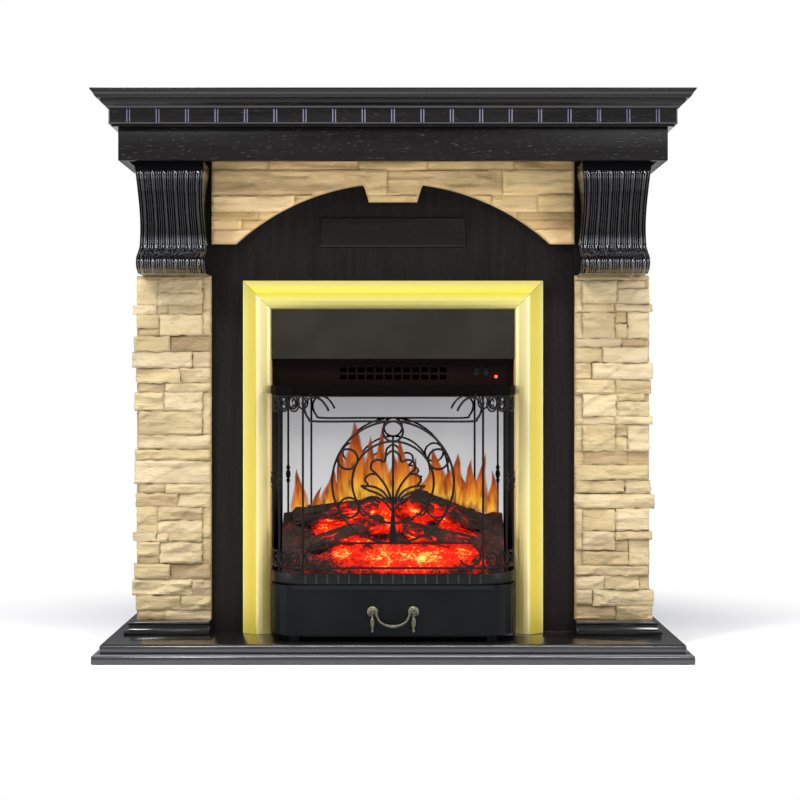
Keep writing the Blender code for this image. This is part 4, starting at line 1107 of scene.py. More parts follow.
@dataclass
class Corbels(Assembly):
    """Reeded scroll brackets.

    The profile gives shares of the reach by shares of the height, from the top. The section gives the
    middle, half width and height of each ridge of a reed, as shares of the reed.
    """

    reeds: int = 6
    reed_steps: int = 32
    rows: int = 150
    profile: Sequence[Flat] = (
        (0.0, 1.0), (0.055, 1.0), (0.066, 0.985), (0.16, 0.965), (0.28, 0.90), (0.40, 0.80), (0.52, 0.69),
        (0.62, 0.61), (0.70, 0.575), (0.745, 0.570), (0.775, 0.605), (0.805, 0.700), (0.84, 0.830),
        (0.875, 0.905), (0.915, 0.925), (0.955, 0.870), (0.985, 0.760), (1.0, 0.66),
    )
    section: Sequence[Point] = (
        (0.5, 0.205, 1.0), (0.190, 0.095, 0.72), (0.810, 0.095, 0.72), (0.0, 0.095, 0.66), (1.0, 0.095, 0.66),
    )
    block: float = 0.082
    groove: float = 0.0052
    neck: float = 0.66
    ease_over_neck: float = 0.010
    ease_under_neck: float = 0.0060
    run_out: float = 0.075
    tongue: float = 0.014
    waist: float = 0.0040

    def depth(self, t: float) -> float:
        """Share of the reach on the profile's straight pieces.

        Args:
            t: Share of the height, from the top.

        Returns:
            The share.
        """
        for (a, va), (b, vb) in zip(self.profile, self.profile[1:]):
            if t <= b:
                return va + (vb - va) * (t - a) / (b - a)
        return self.profile[-1][1]

    def eased(self, t: float) -> float:
        """Share of the reach with the profile's corners eased.

        Args:
            t: Share of the height, from the top.

        Returns:
            The share.
        """
        if t < self.block:
            return 1.0
        reach = self.ease_over_neck if t < self.neck else self.ease_under_neck
        return sum(self.depth(kept_in(t + d * reach, 0.07)) for d in range(-3, 4)) / 7

    def relief(self, u: float) -> float:
        """Share of the groove's depth across the front.

        Args:
            u: Share of the width.

        Returns:
            The share.
        """
        phase = (u * self.reeds) % 1.0
        tallest = 0.0
        for middle, half, height in self.section:
            off = abs(phase - middle)
            if off < half:
                tallest = max(tallest, height * math.sqrt(1 - (off / half) ** 2))
        return 1 - tallest

    def carved(self, u: float, t: float) -> float:
        """How deep the reeds are cut, running out in round ends under the block.

        Args:
            u: Share of the width.
            t: Share of the height, from the top.

        Returns:
            The depth.
        """
        relief = self.relief(u)
        start = self.block - self.tongue * (1 - relief)
        if t <= start:
            return 0.0
        begin = kept_in((t - start) / self.run_out)
        bull = 1 - math.sqrt(max(0.0, 1 - (1 - begin) ** 2))
        return self.groove * (relief + (1 - relief) * bull * 0.95)

    def build(self) -> None:
        """Builds both brackets."""
        for side in ("left", "right"):
            self.bracket(f"corbel_{side}")

    def bracket(self, node: str) -> None:
        """Builds one bracket.

        Args:
            node: Name of the CAD node that it replaces.
        """
        low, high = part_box(node)
        middle, half = (low.x + high.x) / 2, (high.x - low.x) / 2
        height, reach = high.z - low.z, high.y - low.y
        bm = bmesh.new()
        bmesh.ops.create_grid(bm, x_segments=self.reeds * self.reed_steps, y_segments=self.rows, size=1.0)
        for v in bm.verts:
            u, t = (v.co.x + 1) / 2, (1 - v.co.y) / 2
            narrow = self.waist * math.sin(math.pi * kept_in((t - 0.06) / 0.72))
            y = high.y - reach * self.eased(t) + self.carved(u, t)
            v.co = Vector((middle + (u * 2 - 1) * (half - narrow), max(low.y, y), high.z - t * height))

        def to_back(v: bmesh.types.BMVert) -> None:
            """Moves a point to the bracket's back."""
            v.co.y = high.y

        close_behind(bm, to_back)
        Kit.piece(f"{node}_carving", bm, Lacquer(), "corbel_gloss", replaces=[node], smooth=0.9)


# A stone of a column: left, right, top and bottom in thousandths, how far it stands out, and its tone.
Course = tuple[float, float, float, float, float, int]

# The outer edge of such a stone: top and bottom in thousandths, overhang in metres, and its tone.
Edging = tuple[float, float, float, int]

# A course over the arch: top and bottom in thousandths, where its stones meet, and their tones.
ArchCourse = tuple[float, float, Sequence[float], Sequence[int]]


class Tone(Enum):
    """Base colours of single stones."""

    CREAM = (0.620, 0.490, 0.285)
    PALE = (0.690, 0.560, 0.345)
    TAN = (0.530, 0.400, 0.220)
    BROWN = (0.455, 0.335, 0.185)
    PEACH = (0.610, 0.470, 0.290)


TONES = tuple(Tone)


@dataclass
class Cladding(Assembly):
    """Split faced stones on the columns and over the arch, laid in courses."""

    left_upper: Sequence[Course] = (
        (0, 127, 0, 5, 9, 2), (0, 35, 6, 50, 9, 0), (36, 112, 6, 28, 11, 0), (36, 112, 30, 50, 9, 1),
        (114, 126, 6, 60, 6, 0), (-7, 32, 51, 65, 13, 1), (34, 52, 51, 65, 10, 0), (54, 112, 51, 65, 12, 0),
        (0, 38, 67, 90, 10, 0), (40, 112, 67, 102, 11, 1), (4, 38, 92, 103, 8, 2),
        (-5, 56, 105, 130, 12, 0), (58, 126, 105, 130, 9, 3), (-8, 94, 132, 158, 12, 1),
        (96, 126, 132, 158, 10, 4), (-2, 74, 160, 184, 9, 0), (76, 126, 160, 184, 12, 0),
        (3, 47, 186, 200, 8, 2), (49, 126, 186, 200, 11, 1), (114, 126, 62, 103, 6, 0),
    )
    left_lower: Sequence[Course] = (
        (-4, 45, 202, 233, 12, 0), (47, 112, 202, 233, 10, 1), (114, 126, 202, 273, 6, 0),
        (3, 112, 235, 274, 11, 0), (1, 126, 276, 299, 9, 1), (-3, 126, 301, 318, 12, 0),
        (-4, 126, 320, 359, 10, 1), (3, 48, 361, 375, 8, 0), (50, 126, 361, 375, 11, 1),
        (-2, 70, 377, 399, 12, 2), (72, 126, 377, 399, 9, 0),
    )
    right_upper: Sequence[Course] = (
        (0, 127, 0, 7, 9, 2), (1, 12, 9, 61, 6, 0), (14, 72, 9, 47, 10, 1), (74, 120, 9, 21, 8, 0),
        (74, 128, 23, 47, 12, 1), (14, 68, 49, 61, 9, 0), (70, 133, 49, 61, 13, 1), (14, 69, 63, 107, 11, 0),
        (71, 90, 63, 82, 8, 2), (71, 90, 84, 107, 10, 0), (92, 128, 63, 107, 12, 1), (1, 12, 63, 107, 6, 0),
    )
    right_middle: Sequence[Course] = (
        (1, 80, 109, 122, 8, 0), (83, 120, 109, 122, 7, 3), (1, 47, 124, 149, 10, 0),
        (49, 126, 124, 149, 12, 1), (2, 28, 151, 178, 9, 0), (31, 134, 151, 178, 12, 1),
        (2, 69, 180, 203, 11, 0), (71, 131, 180, 203, 9, 0),
    )
    right_lower: Sequence[Course] = (
        (16, 90, 303, 326, 8, 3), (2, 126, 328, 352, 11, 0), (2, 85, 354, 374, 10, 0),
        (88, 130, 354, 376, 12, 1), (0, 137, 378, 401, 11, 1), (14, 69, 403, 440, 9, 0),
        (71, 127, 403, 440, 12, 1), (2, 12, 403, 473, 6, 0), (14, 69, 443, 473, 11, 1),
        (71, 133, 443, 455, 13, 0), (71, 92, 457, 476, 8, 2), (94, 128, 457, 500, 11, 0),
        (14, 92, 478, 500, 10, 2), (2, 126, 502, 518, 11, 0), (2, 50, 520, 542, 9, 1),
        (52, 110, 520, 542, 12, 0), (112, 127, 520, 542, 8, 0), (2, 29, 544, 570, 10, 0),
        (32, 136, 544, 570, 12, 1), (2, 70, 572, 594, 9, 3), (73, 133, 572, 594, 12, 0),
    )
    lintel: Sequence[ArchCourse] = (
        (0, 24, (-314, -128, -48, 100, 179, 314), (2, 0, 2, 3, 2)),
        (24, 42, (-314, -214, -60, 60, 210, 314), (0, 2, 0, 0, 2)),
        (42, 88, (-314, -10, 190, 314), (0, 0, 1)),
        (88, 118, (-314, -170, 170, 250, 314), (1, 0, 1, 0)),
        (118, 132, (-314, -232, 0, 214, 314), (2, 0, 0, 3)),
        (132, 150, (-314, -262, 0, 214, 314), (0, 2, 0, 3)),
        (150, 176, (-314, -200, 200, 314), (4, 0, 4)),
    )
    repeat: float = 394
    shift: float = 195
    middle_foot: float = 303
    right_edge: float = 127.8
    lowest: float = 590
    foot: float = 594
    drawn_width: float = 0.1278
    drawn_height: float = 0.5942
    bed: float = 0.0068
    bed_depth: float = 0.0062
    flatter: float = 0.93
    shy: float = 0.012
    arch_bed: float = 0.009
    arch_height: float = 0.176
    arch_half: float = 0.314
    arch_key: int = 900
    cell: float = 0.0036
    grow: float = 0.0008
    rounding: float = 0.0030
    ragged: float = 0.0022
    least: float = 0.0012
    half: float = 0.273
    rise: float = 0.106
    key_top: float = 0.051
    key_low: float = 0.042
    drop: float = 0.033
    mortar: Colour = (0.46, 0.34, 0.185)
    arch_mortar: Colour = (0.62, 0.46, 0.27)

    def relief(self, x: float, z: float, key: int, soft: bool = False) -> float:
        """Height of a split face from 0 to 1.

        Args:
            x: Place along the stone.
            z: Place up the stone.
            key: A number that differs from stone to stone.
            soft: Whether the stone is a smoother one.

        Returns:
            The height.
        """
        layer = noise.noise(Vector((x * 12 + key, z * 95, key * 2.3)))
        fine = noise.fractal(Vector((x * 120, z * 190, key * 0.7)), 1.0, 2.1, 3)
        if soft:
            far = noise.noise(Vector((x * 11 + key * 3.1, z * 26, key * 1.7)))
            return 0.76 + 0.34 * far + 0.22 * kept_in(layer * 8.0) + 0.05 * fine
        far = noise.noise(Vector((x * 22 + key * 3.1, z * 46, key * 1.7)))
        facet = noise.noise(Vector((x * 18 - z * 30 + key, z * 9 + key * 0.9, 5)))
        step = 0.26 * kept_in(facet * 12.0) - 0.13
        ledge = 0.20 * kept_in(layer * 14.0)
        return 0.68 + 0.38 * far + step + ledge + 0.08 * fine

    def tint(self, key: int, tone: int, over_arch: bool) -> Vector:
        """Base colour of a stone.

        Args:
            key: A number that differs from stone to stone.
            tone: Which tone it has.
            over_arch: Whether it is one of the stones over the arch, which are brightened with painted light
                against the shade under the frieze.

        Returns:
            The colour.
        """
        base = Vector(TONES[tone].value) * (0.73 + 0.12 * wobble(key, 7))
        base.z *= 0.94 + 0.1 * wobble(key, 8)
        # Painted light: the stones over the arch are brightened to make up for the frieze's shade.
        return Vector((base.x * 1.74, base.y * 1.60, base.z * 1.40)) if over_arch else base

    def block(self, span: Flat, up: Flat, out: float, key: int, tone: int,
              wall: Callable[[float, float, float], Vector], lower: Callable[[float], float] | None = None
              ) -> Shape | None:
        """Makes one stone.

        Args:
            span: From and to along the wall.
            up: From and to up the wall.
            out: How far it stands out.
            key: A number that differs from stone to stone.
            tone: Which base colour it has.
            wall: Places a point from along, up and out.
            lower: Height under which the stone is cut away, by place along.

        Returns:
            The closed stone, or None if it is all cut away.
        """
        x0, x1, z0, z1 = span[0] - self.grow, span[1] + self.grow, up[0] - self.grow, up[1] + self.grow
        if lower:
            cells = [x0 + (x1 - x0) * i / 60 for i in range(61)]
            kept = [x for x in cells if lower(x) < z1 - 0.002]
            if not kept:
                return None
            x0, x1 = kept[0], kept[-1]
        bm = bmesh.new()
        layer = bm.verts.layers.float_color.new("tint")
        across, tall = (max(2, round(size / self.cell)) for size in (x1 - x0, z1 - z0))
        bmesh.ops.create_grid(bm, x_segments=across, y_segments=tall, size=1.0)
        base = self.tint(key, tone, bool(lower))
        tilt = (0.55 * (wobble(key, 1) - 0.5), 0.75 * (wobble(key, 2) - 0.5))
        flat = {}
        for v in bm.verts:
            u, w = (v.co.x + 1) / 2, (v.co.y + 1) / 2
            x = x0 + (x1 - x0) * u
            foot = min(max(z0, lower(x)) if lower else z0, z1 - 0.0004)
            z = foot + (z1 - foot) * w
            rim = min(min(u, 1 - u) * (x1 - x0), min(w, 1 - w) * (z1 - foot))
            level = self.relief(x, z, key, bool(lower)) + tilt[0] * (u - 0.5) + tilt[1] * (w - 0.5)
            level *= 1 - 0.30 * max(0.0, 1 - rim / self.rounding) ** 2
            level = min(max(out * level, out * 0.35, self.least), out * 1.05)
            if (u < 0.001 or u > 0.999) and not lower:
                x += self.ragged * noise.noise(Vector((z * 110, key, 3)))
            if (w < 0.001 and not lower) or w > 0.999:
                z += self.ragged * noise.noise(Vector((x * 70, key, 5)))
            v.co = wall(x, z, level)
            flat[v] = (x, z)
            # Painted shade: darker at the stone's rims and where its face lies lower; painted light near the
            # top of a column, against the shade under the bracket.
            shade = 0.90 + 0.10 * min(1.0, rim / 0.0020)
            shade *= 0.82 + 0.22 * min(1.0, level / out)
            shade *= 1.0 if lower else 1 + 0.26 * max(0.0, 1 + z / 0.12)
            v[layer] = (*(base * shade), 1.0)

        def spot(v: bmesh.types.BMVert) -> Point:
            """A point's place, rounded so that it can be looked up."""
            return tuple(round(c, 7) for c in v.co)

        places = {spot(v): flat[v] for e in bm.edges if e.is_boundary for v in e.verts}

        def to_wall(v: bmesh.types.BMVert) -> None:
            """Moves a point of the rim into the mortar and darkens it with painted shade."""
            v.co = wall(*places[spot(v)], -0.0010)
            v[layer] = (*(base * (0.92 if lower else 0.80)), 1.0)

        close_behind(bm, to_wall)
        bmesh.ops.recalc_face_normals(bm, faces=bm.faces)
        return bm

    def slab(self, low: Point, high: Point) -> Shape:
        """Makes a piece of the mortar bed behind the stones.

        Args:
            low: Low corner.
            high: High corner.

        Returns:
            The closed slab.
        """
        bm = bmesh.new()
        layer = bm.verts.layers.float_color.new("tint")
        for v in bmesh.ops.create_cube(bm, size=1.0)["verts"]:
            v.co = Vector(b if c > 0 else a for a, b, c in zip(low, high, v.co))
            v[layer] = (*self.mortar, 1.0)
        return bm

    def courses(self, side: int) -> list[Course]:
        """The stones of one column, whose upper part comes again lower down.

        Args:
            side: -1 for the left and 1 for the right.

        Returns:
            The stones.
        """
        upper, fall = (self.left_upper, self.repeat) if side < 0 else (self.right_upper, self.shift)
        again = [(a, b, c + fall, d + fall, e, t) for a, b, c, d, e, t in upper[1:]]
        if side < 0:
            return [*upper, *self.left_lower, *again]
        return [*upper, *self.right_middle, *[s for s in again if s[3] < self.middle_foot], *self.right_lower]

    def column(self, side: int) -> None:
        """Builds the cladding of one column.

        Args:
            side: -1 for the left and 1 for the right.
        """
        name = "left" if side < 0 else "right"
        low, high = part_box(f"stone_{name}")
        board_low, board_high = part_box(f"column_board_{name}")
        inner, edge = board_high.x, board_low.x - self.bed
        if side > 0:
            inner, edge = board_low.x, board_high.x + self.bed
        face = board_low.y - self.bed
        wide, tall = abs(edge - inner) / self.drawn_width, (high.z - low.z) / self.drawn_height

        def front(u: float, z: float, out: float) -> Vector:
            """A place on the column's front."""
            return Vector(((edge if side < 0 else inner) + u, face - out, high.z + z))

        def flank(u: float, z: float, out: float) -> Vector:
            """A place on the column's outer side."""
            return Vector((edge + side * out, min(face + u, high.y), high.z + z))

        parts = []
        outer: list[Edging] = []
        for n, (a, b, c, d, e, tone) in enumerate(self.courses(side)):
            if c >= self.lowest:
                continue
            d = min(d, self.foot)
            span, up = (a / 1000 * wide, b / 1000 * wide), (-d / 1000 * tall, -c / 1000 * tall)
            key = n + 100 * (side + 2)
            parts.append(self.block(span, up, e / 1000 * self.flatter, key, tone, front))
            proud = -a / 1000 if side < 0 else (b - self.right_edge) / 1000
            if proud > -self.shy:
                outer.append((c, d, proud * wide, tone))
        parts += self.flank_stones(sorted(outer), high.y - face, tall, side, flank)
        back, behind = edge - side * self.bed_depth, face + self.bed_depth
        parts.append(self.slab((min(inner, edge), face, low.z), (max(inner, edge), behind, high.z)))
        parts.append(self.slab((min(edge, back), behind + 0.0001, low.z), (max(edge, back), high.y, high.z)))
        Kit.piece(f"stonework_{name}", merged(parts), Stone(), "cast_stone", replaces=[f"stone_{name}"],
                  smooth=0.7, outward=False)

    def flank_stones(self, outer: Sequence[Edging], run: float, tall: float, side: int,
                     wall: Callable[[float, float, float], Vector]) -> list[Shape]:
        """Makes the stones on a column's outer side, three to a course of its front.

        Args:
            outer: The front's outermost stones.
            run: Depth of the side.
            tall: Real height of a metre of the drawing.
            side: -1 for the left and 1 for the right.
            wall: Places a point from along, up and out.

        Returns:
            The stones.
        """
        parts = []
        at = 0.0
        for n, (c, d, proud, tone) in enumerate(outer):
            if d <= at + 2:
                continue
            c = max(c, at) if c - at < 12 else at
            at = d
            up = (-(d - 0.5) / 1000 * tall, -(c + 0.5) / 1000 * tall)
            first, second = (run * (share + 0.14 * wobble(n, m, side)) for share, m in ((0.30, 4), (0.64, 5)))
            splits = [0.0005, first, second, run]
            for k, (start, end) in enumerate(zip(splits, splits[1:])):
                out = 0.003 + 0.006 * wobble(n, k, 6) if k else max(0.0022, proud * 0.9)
                own = int(wobble(n, k, 9) * 3) if k else tone
                parts.append(self.block((start + 0.0008, end - 0.0010), up, out, 500 + n * 5 + k, own, wall))
        return parts

    @staticmethod
    def runs(left: float, right: float, top: float, lower: Callable[[float], float]) -> list[Flat]:
        """Finds what is left of a stone whose middle the arch cuts away.

        Args:
            left: Where the stone begins.
            right: Where it ends.
            top: Its top.
            lower: Height under which the stone is cut away, by place along.

        Returns:
            From and to of each part.
        """
        found, start, last = [], None, left
        for x in [left + (right - left) * i / 120 for i in range(121)]:
            if lower(x) < top - 0.002:
                start, last = (x if start is None else start), x
            elif start is not None:
                found.append((start, last))
                start = None
        if start is not None:
            found.append((start, last))
        return [(a, b) for a, b in found if b - a > 0.004]

    def over_arch(self) -> None:
        """Builds the stones over the arch and its keystone."""
        low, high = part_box("stone_lintel")
        top, foot, slab = high.z, low.z, high.y - self.arch_bed
        tall, broad = (top - foot) / self.arch_height, high.x / self.arch_half
        radius = (self.half**2 + self.rise**2) / (2 * self.rise)
        centre = foot + self.rise - radius
        key_foot = foot + self.rise - self.drop

        def arch(x: float) -> float:
            """Height of the arch and its keystone.

            Args:
                x: Place along the wall, from the middle.

            Returns:
                The height, measured from the wall's top.
            """
            x = abs(x)
            if x >= self.half:
                return foot - top
            curve = centre + math.sqrt(radius**2 - x * x)
            if x < self.key_low:
                return key_foot - top
            if x < self.key_top:
                share = (x - self.key_low) / (self.key_top - self.key_low)
                return key_foot + (curve - key_foot) * share - top
            return curve - top

        def wall(u: float, z: float, out: float) -> Vector:
            """A place on the wall over the arch."""
            return Vector((u, slab - out, top + z))

        parts = []
        key = self.arch_key
        for z0, z1, ends, tones in self.lintel:
            up = (-z1 / 1000 * tall + 0.0006, -z0 / 1000 * tall - 0.0008)
            for n, (a, b) in enumerate(zip(ends, ends[1:])):
                key += 1
                out = 0.0065 + 0.0045 * wobble(key, 2)
                for run in self.runs(a / 1000 * broad + 0.0009, b / 1000 * broad - 0.0009, up[1], arch):
                    parts.append(self.block(run, up, out, key, tones[n], wall, arch))
        steps = [-high.x + 2 * high.x * i / 240 for i in range(241)]
        edge = [(x, max(foot, arch(x) + top)) for x in steps]
        bed = drawn_out([(x, slab - 0.0002, z) for x, z in [*edge, (high.x, top), (-high.x, top)]], 1, high.y)
        layer = bed.verts.layers.float_color.new("tint")
        for v in bed.verts:
            v[layer] = (*self.arch_mortar, 1.0)
        bmesh.ops.triangulate(bed, faces=bed.faces)
        bmesh.ops.recalc_face_normals(bed, faces=bed.faces)
        parts.append(bed)
        whole = merged(part for part in parts if part)
        Kit.piece("stonework_arch", whole, Stone("stone_smooth", 0.0022), "cast_stone",
                  replaces=["stone_lintel"], smooth=0.7, outward=False)

    def build(self) -> None:
        """Builds all the cladding."""
        self.column(-1)
        self.column(1)
        self.over_arch()


@dataclass
class Trim(Assembly):
    """The pressed brass trim: an outer and an inner facet. The colours across each facet are painted
    reflections and highlight lines.
    """

    # Painted reflections and highlight lines across an upright, by distance from the middle.
    upright: Sequence[tuple[float, Colour]] = (
        (0.2090, (0.70, 0.42, 0.17)), (0.2115, (0.82, 0.64, 0.29)), (0.2160, (0.66, 0.57, 0.21)),
        (0.2260, (0.78, 0.67, 0.31)), (0.2330, (0.98, 0.85, 0.50)), (0.2352, (0.94, 0.80, 0.38)),
        (0.2362, (0.66, 0.53, 0.065)), (0.2470, (0.68, 0.56, 0.075)), (0.2560, (0.74, 0.66, 0.16)),
        (0.2593, (0.86, 0.80, 0.34)),
    )
    # Painted reflections and highlight lines across the top, by height.
    across: Sequence[tuple[float, Colour]] = (
        (0.5899, (0.66, 0.54, 0.15)), (0.5950, (0.80, 0.70, 0.24)), (0.6080, (0.84, 0.74, 0.18)),
        (0.6165, (0.76, 0.67, 0.060)), (0.6200, (0.80, 0.73, 0.075)), (0.6300, (0.86, 0.77, 0.18)),
        (0.6402, (0.90, 0.80, 0.24)),
    )

    def dress(self) -> None:
        """Gives the trim its brass."""
        Kit.dress(Brass("brass_upright", "X", self.upright), "trim_left", "trim_right")
        Kit.dress(Brass("brass_across", "Z", self.across), "trim_top")


# A flame: where its foot and tip are across, where they are down, and its width, in the picture's pixels.
Tongue = tuple[float, float, float, float, float]

# A hot place: its middle and its reach, across and down in the picture's pixels, and how hot it is.
HotPlace = tuple[float, float, float, float, float]


@dataclass
class Fire(Assembly):
    """Ember bed, logs and the flame picture."""

    squeeze: float = 0.971
    flames: Sequence[Tongue] = (
        (306, 306, 524, 474, 15), (323, 327, 524, 492, 10), (336, 339, 522, 472, 17),
        (347, 342, 516, 482, 12), (352, 349, 514, 452, 14), (366, 359, 512, 424, 29),
        (371, 376, 510, 462, 15), (380, 379, 508, 440, 17), (390, 387, 507, 429, 15),
        (398, 401, 506, 458, 15), (410, 409, 505, 442, 17), (424, 421, 505, 462, 13),
        (432, 437, 506, 472, 12), (444, 442, 506, 453, 20), (454, 457, 508, 474, 14),
        (461, 463, 511, 458, 20), (471, 469, 513, 480, 11), (478, 479, 515, 464, 15),
        (488, 490, 519, 458, 13), (498, 500, 525, 475, 12),
    )
    hot: Sequence[HotPlace] = (
        (408, 567, 70, 18, 0.43), (433, 566, 20, 10, 0.54), (350, 561, 14, 9, 0.50),
        (372, 516, 34, 15, 0.42), (332, 538, 16, 13, 0.36), (432, 518, 30, 12, 0.42),
        (388, 532, 22, 10, 0.44), (424, 536, 14, 10, 0.40), (470, 556, 17, 22, 0.40),
        (458, 530, 16, 9, 0.32), (365, 548, 26, 5, 0.36), (430, 548, 18, 5, 0.34), (350, 531, 30, 4, 0.34),
    )
    widen: float = 2.15e-3
    rows: int = 18
    columns: int = 6
    span: float = 0.150
    corner: float = 0.0527
    setback: float = 0.084
    mound: float = 0.036
    ridge: float = 503.0
    hood: float = 0.6405
    rings: int = 90
    spokes: int = 44

    def on_screen(self, x: float, y: float) -> Flat:
        """Where a pixel of the flame picture lies on the screen.

        Args:
            x: Pixel from the left.
            y: Pixel from the top.

        Returns:
            Place (x, z) in metres.
        """
        size = PIXEL * (EYE_BACK + 0.003) / SHELF_PLANE
        height = EYE_HEIGHT + (MIDDLE_PIXEL[1] - y) * size
        return ((x - MIDDLE_PIXEL[0]) * size, self.hood - (self.hood - height) * self.squeeze)

    def picture(self) -> None:
        """Builds the flames that the screen shows."""
        low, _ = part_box("flame_screen")
        bm = bmesh.new()
        layer = bm.loops.layers.uv.new("flame_uv")
        for n, (foot_x, tip_x, foot_y, tip_y, wide) in enumerate(self.flames):
            x0, z0 = self.on_screen(foot_x, foot_y)
            x1, z1 = self.on_screen(tip_x, tip_y)
            half = wide * self.widen / 2
            y = low.y - 0.0004 - 0.00012 * (n % 3)
            grid = []
            for i in range(self.rows + 1):
                t = i / self.rows
                bend = 0.0045 * math.sin(t * 5.2 + n * 1.9) * t
                belly = 0.72 + 0.42 * math.sin(math.pi * min(1.0, t * 1.3 + 0.12))
                body = belly * (1 - t**2.0) ** 0.95 + 0.015
                x, z = x0 + (x1 - x0) * t**1.2 + bend, z0 + (z1 - z0) * t
                shares = [c / self.columns for c in range(self.columns + 1)]
                grid.append([(bm.verts.new((x + (s - 0.5) * 2 * half * body, y, z)), s, t) for s in shares])
            for below, above in zip(grid, grid[1:]):
                for c in range(self.columns):
                    spots = (below[c], below[c + 1], above[c + 1], above[c])
                    face = bm.faces.new([spot[0] for spot in spots])
                    for loop, spot in zip(face.loops, spots):
                        loop[layer].uv = spot[1:]
        Kit.piece("flame_picture", bm, Flame(), "screen_mirror", smooth=1.0, outward=False)

    def heat(self, spot: Vector) -> float:
        """How strongly a place glows, as seen from the front.

        Args:
            spot: The place.

        Returns:
            A heat from about 0 to 1.
        """
        size = PIXEL * (EYE_BACK + spot.y) / SHELF_PLANE
        height = self.hood - (self.hood - spot.z) / self.squeeze
        x, y = MIDDLE_PIXEL[0] + spot.x / size, MIDDLE_PIXEL[1] - (height - EYE_HEIGHT) / size
        total = 0.0
        for cx, cy, rx, ry, gain in self.hot:
            off = ((x - cx) / rx) ** 2 + ((y - cy) / ry) ** 2
            total = max(total, gain * 1.55 * math.exp(-(off**1.5) * 0.75)) + 0.06 * gain * math.exp(-off)
        return total * kept_in((y - self.ridge) / 8)

    def bed(self) -> None:
        """Builds the ember bed with its lumps of coal."""
        low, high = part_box("ember_bed")
        bm = bmesh.new()
        layer = bm.verts.layers.float.new("ember_level")
        bmesh.ops.create_grid(bm, x_segments=170, y_segments=80, size=1.0)
        for v in bm.verts:
            i, j = (v.co.x + 1) / 2, (v.co.y + 1) / 2
            x = low.x + (high.x - low.x) * i
            front = self.front_edge(x, low.y)
            y = front + (high.y - front) * j
            x *= 1 + 0.022 * min(1.0, j * 1.5)
            swell = j**0.8 * (0.064 + 0.016 * math.cos(math.pi / 2 * (2 * i - 1)))
            swell += self.mound * j**1.5 * math.exp(-((x / 0.078) ** 2))
            swell += 0.024 * j**0.7 * kept_in((abs(x) - 0.125) / 0.05)
            spot = Vector((x * 38, y * 38, 1.0))
            near = min(1.0, noise.voronoi(spot, distance_metric="DISTANCE")[0][0])
            lump = 0.012 * (0.5 - near * 1.2) + 0.004 * noise.fractal(spot * 2.3, 0.8, 2.0, 4)
            edge = min(1.0, min(i, 1 - i, j, 1 - j) * 14)
            v.co = Vector((x, y, min(low.z + 0.0165 + swell + lump * edge, high.z)))
            v[layer] = self.heat(v.co) + 0.16 * (near - 0.4) + 0.10 * noise.noise(Vector((x * 26, y * 26, 4)))

        def to_foot(v: bmesh.types.BMVert) -> None:
            """Moves a point of the rim to the bed's foot, where it is cold."""
            v.co.z = low.z
            v[layer] = 0.0

        close_behind(bm, to_foot)
        Kit.piece("embers", bm, Glow(), "ember_resin", replaces=["ember_bed"], smooth=1.2)

    def front_edge(self, x: float, front: float) -> float:
        """Front edge of the bed, which runs back in a round at both ends.

        Args:
            x: Distance from the middle.
            front: The edge in the middle.

        Returns:
            The edge.
        """
        if abs(x) <= self.span:
            return front
        t = min(1.0, (abs(x) - self.span) / self.corner)
        return front + self.setback * (1 - math.sqrt(max(0.0, 1 - t * t)))

    def lie(self, name: str) -> tuple[Vector, Vector, Vector, float]:
        """How a log lies.

        Args:
            name: Name of its CAD node.

        Returns:
            Its start, its end, its direction and its radius.
        """
        points = [v.co.copy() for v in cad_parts[name].data.vertices]
        centre = sum(points, Vector()) / len(points)
        far = max(points, key=lambda p: (p - centre).length)
        along = (far - centre).normalized()
        along = -along if along.x < 0 else along
        reach = [(p - centre).dot(along) for p in points]
        radii = sorted(((p - centre) - along * (p - centre).dot(along)).length for p in points)
        return centre + along * min(reach), centre + along * max(reach), along, radii[int(len(points) * 0.75)]

    def log(self, n: int) -> None:
        """Builds one charred log with glowing cracks.

        Args:
            n: Its number.
        """
        name = f"log_{n}"
        start, end, along, radius = self.lie(name)
        side = along.cross(Vector((0, 0, 1))).normalized()
        lift = side.cross(along)
        bm = bmesh.new()
        layer = bm.verts.layers.float.new("ember_level")
        rows = []
        for i in range(self.rings + 1):
            t = i / self.rings
            middle = start.lerp(end, t)
            cap = min(1.0, 0.62 + 7 * min(t, 1 - t))
            row = []
            for k in range(self.spokes):
                a = 2 * math.pi * k / self.spokes
                where = Vector((math.cos(a) * 1.4 + n * 5, math.sin(a) * 1.4, t * 4.2))
                bark = noise.fractal(Vector((where.x * 2.4, where.y * 2.4, where.z * 0.9)), 0.8, 2.0, 5)
                groove = abs(noise.noise(Vector((where.x * 2.6, where.y * 2.6, where.z * 0.55))))
                r = radius * cap * (0.88 + 0.12 * bark - 0.14 * max(0.0, 1 - groove / 0.06))
                v = bm.verts.new(middle + side * (math.cos(a) * r) + lift * (math.sin(a) * r))
                glow = self.heat(v.co)
                crack = max(0.0, 1 - groove / 0.09)
                lit = 0.50 * crack * min(1.0, glow * 2.2 + 0.15)
                v[layer] = glow * (0.72 - 0.40 * math.sin(a)) + lit - 0.04
                row.append(v)
            rows.append(row)
        for below, above in zip(rows, rows[1:]):
            for k in range(self.spokes):
                m = (k + 1) % self.spokes
                bm.faces.new((below[k], below[m], above[m], above[k]))
        for row in (rows[0], rows[-1]):
            bmesh.ops.contextual_create(bm, geom=row)
        finish = Glow("log_glow", 1.1, (0.020, 0.0120, 0.0090), 1.1, 0.20)
        Kit.piece(f"charred_{name}", bm, finish, "charred_log", replaces=[name], smooth=1.2)

    def build(self) -> None:
        """Builds the whole fire."""
        self.picture()
        self.bed()
        for n in range(1, 5):
            self.log(n)


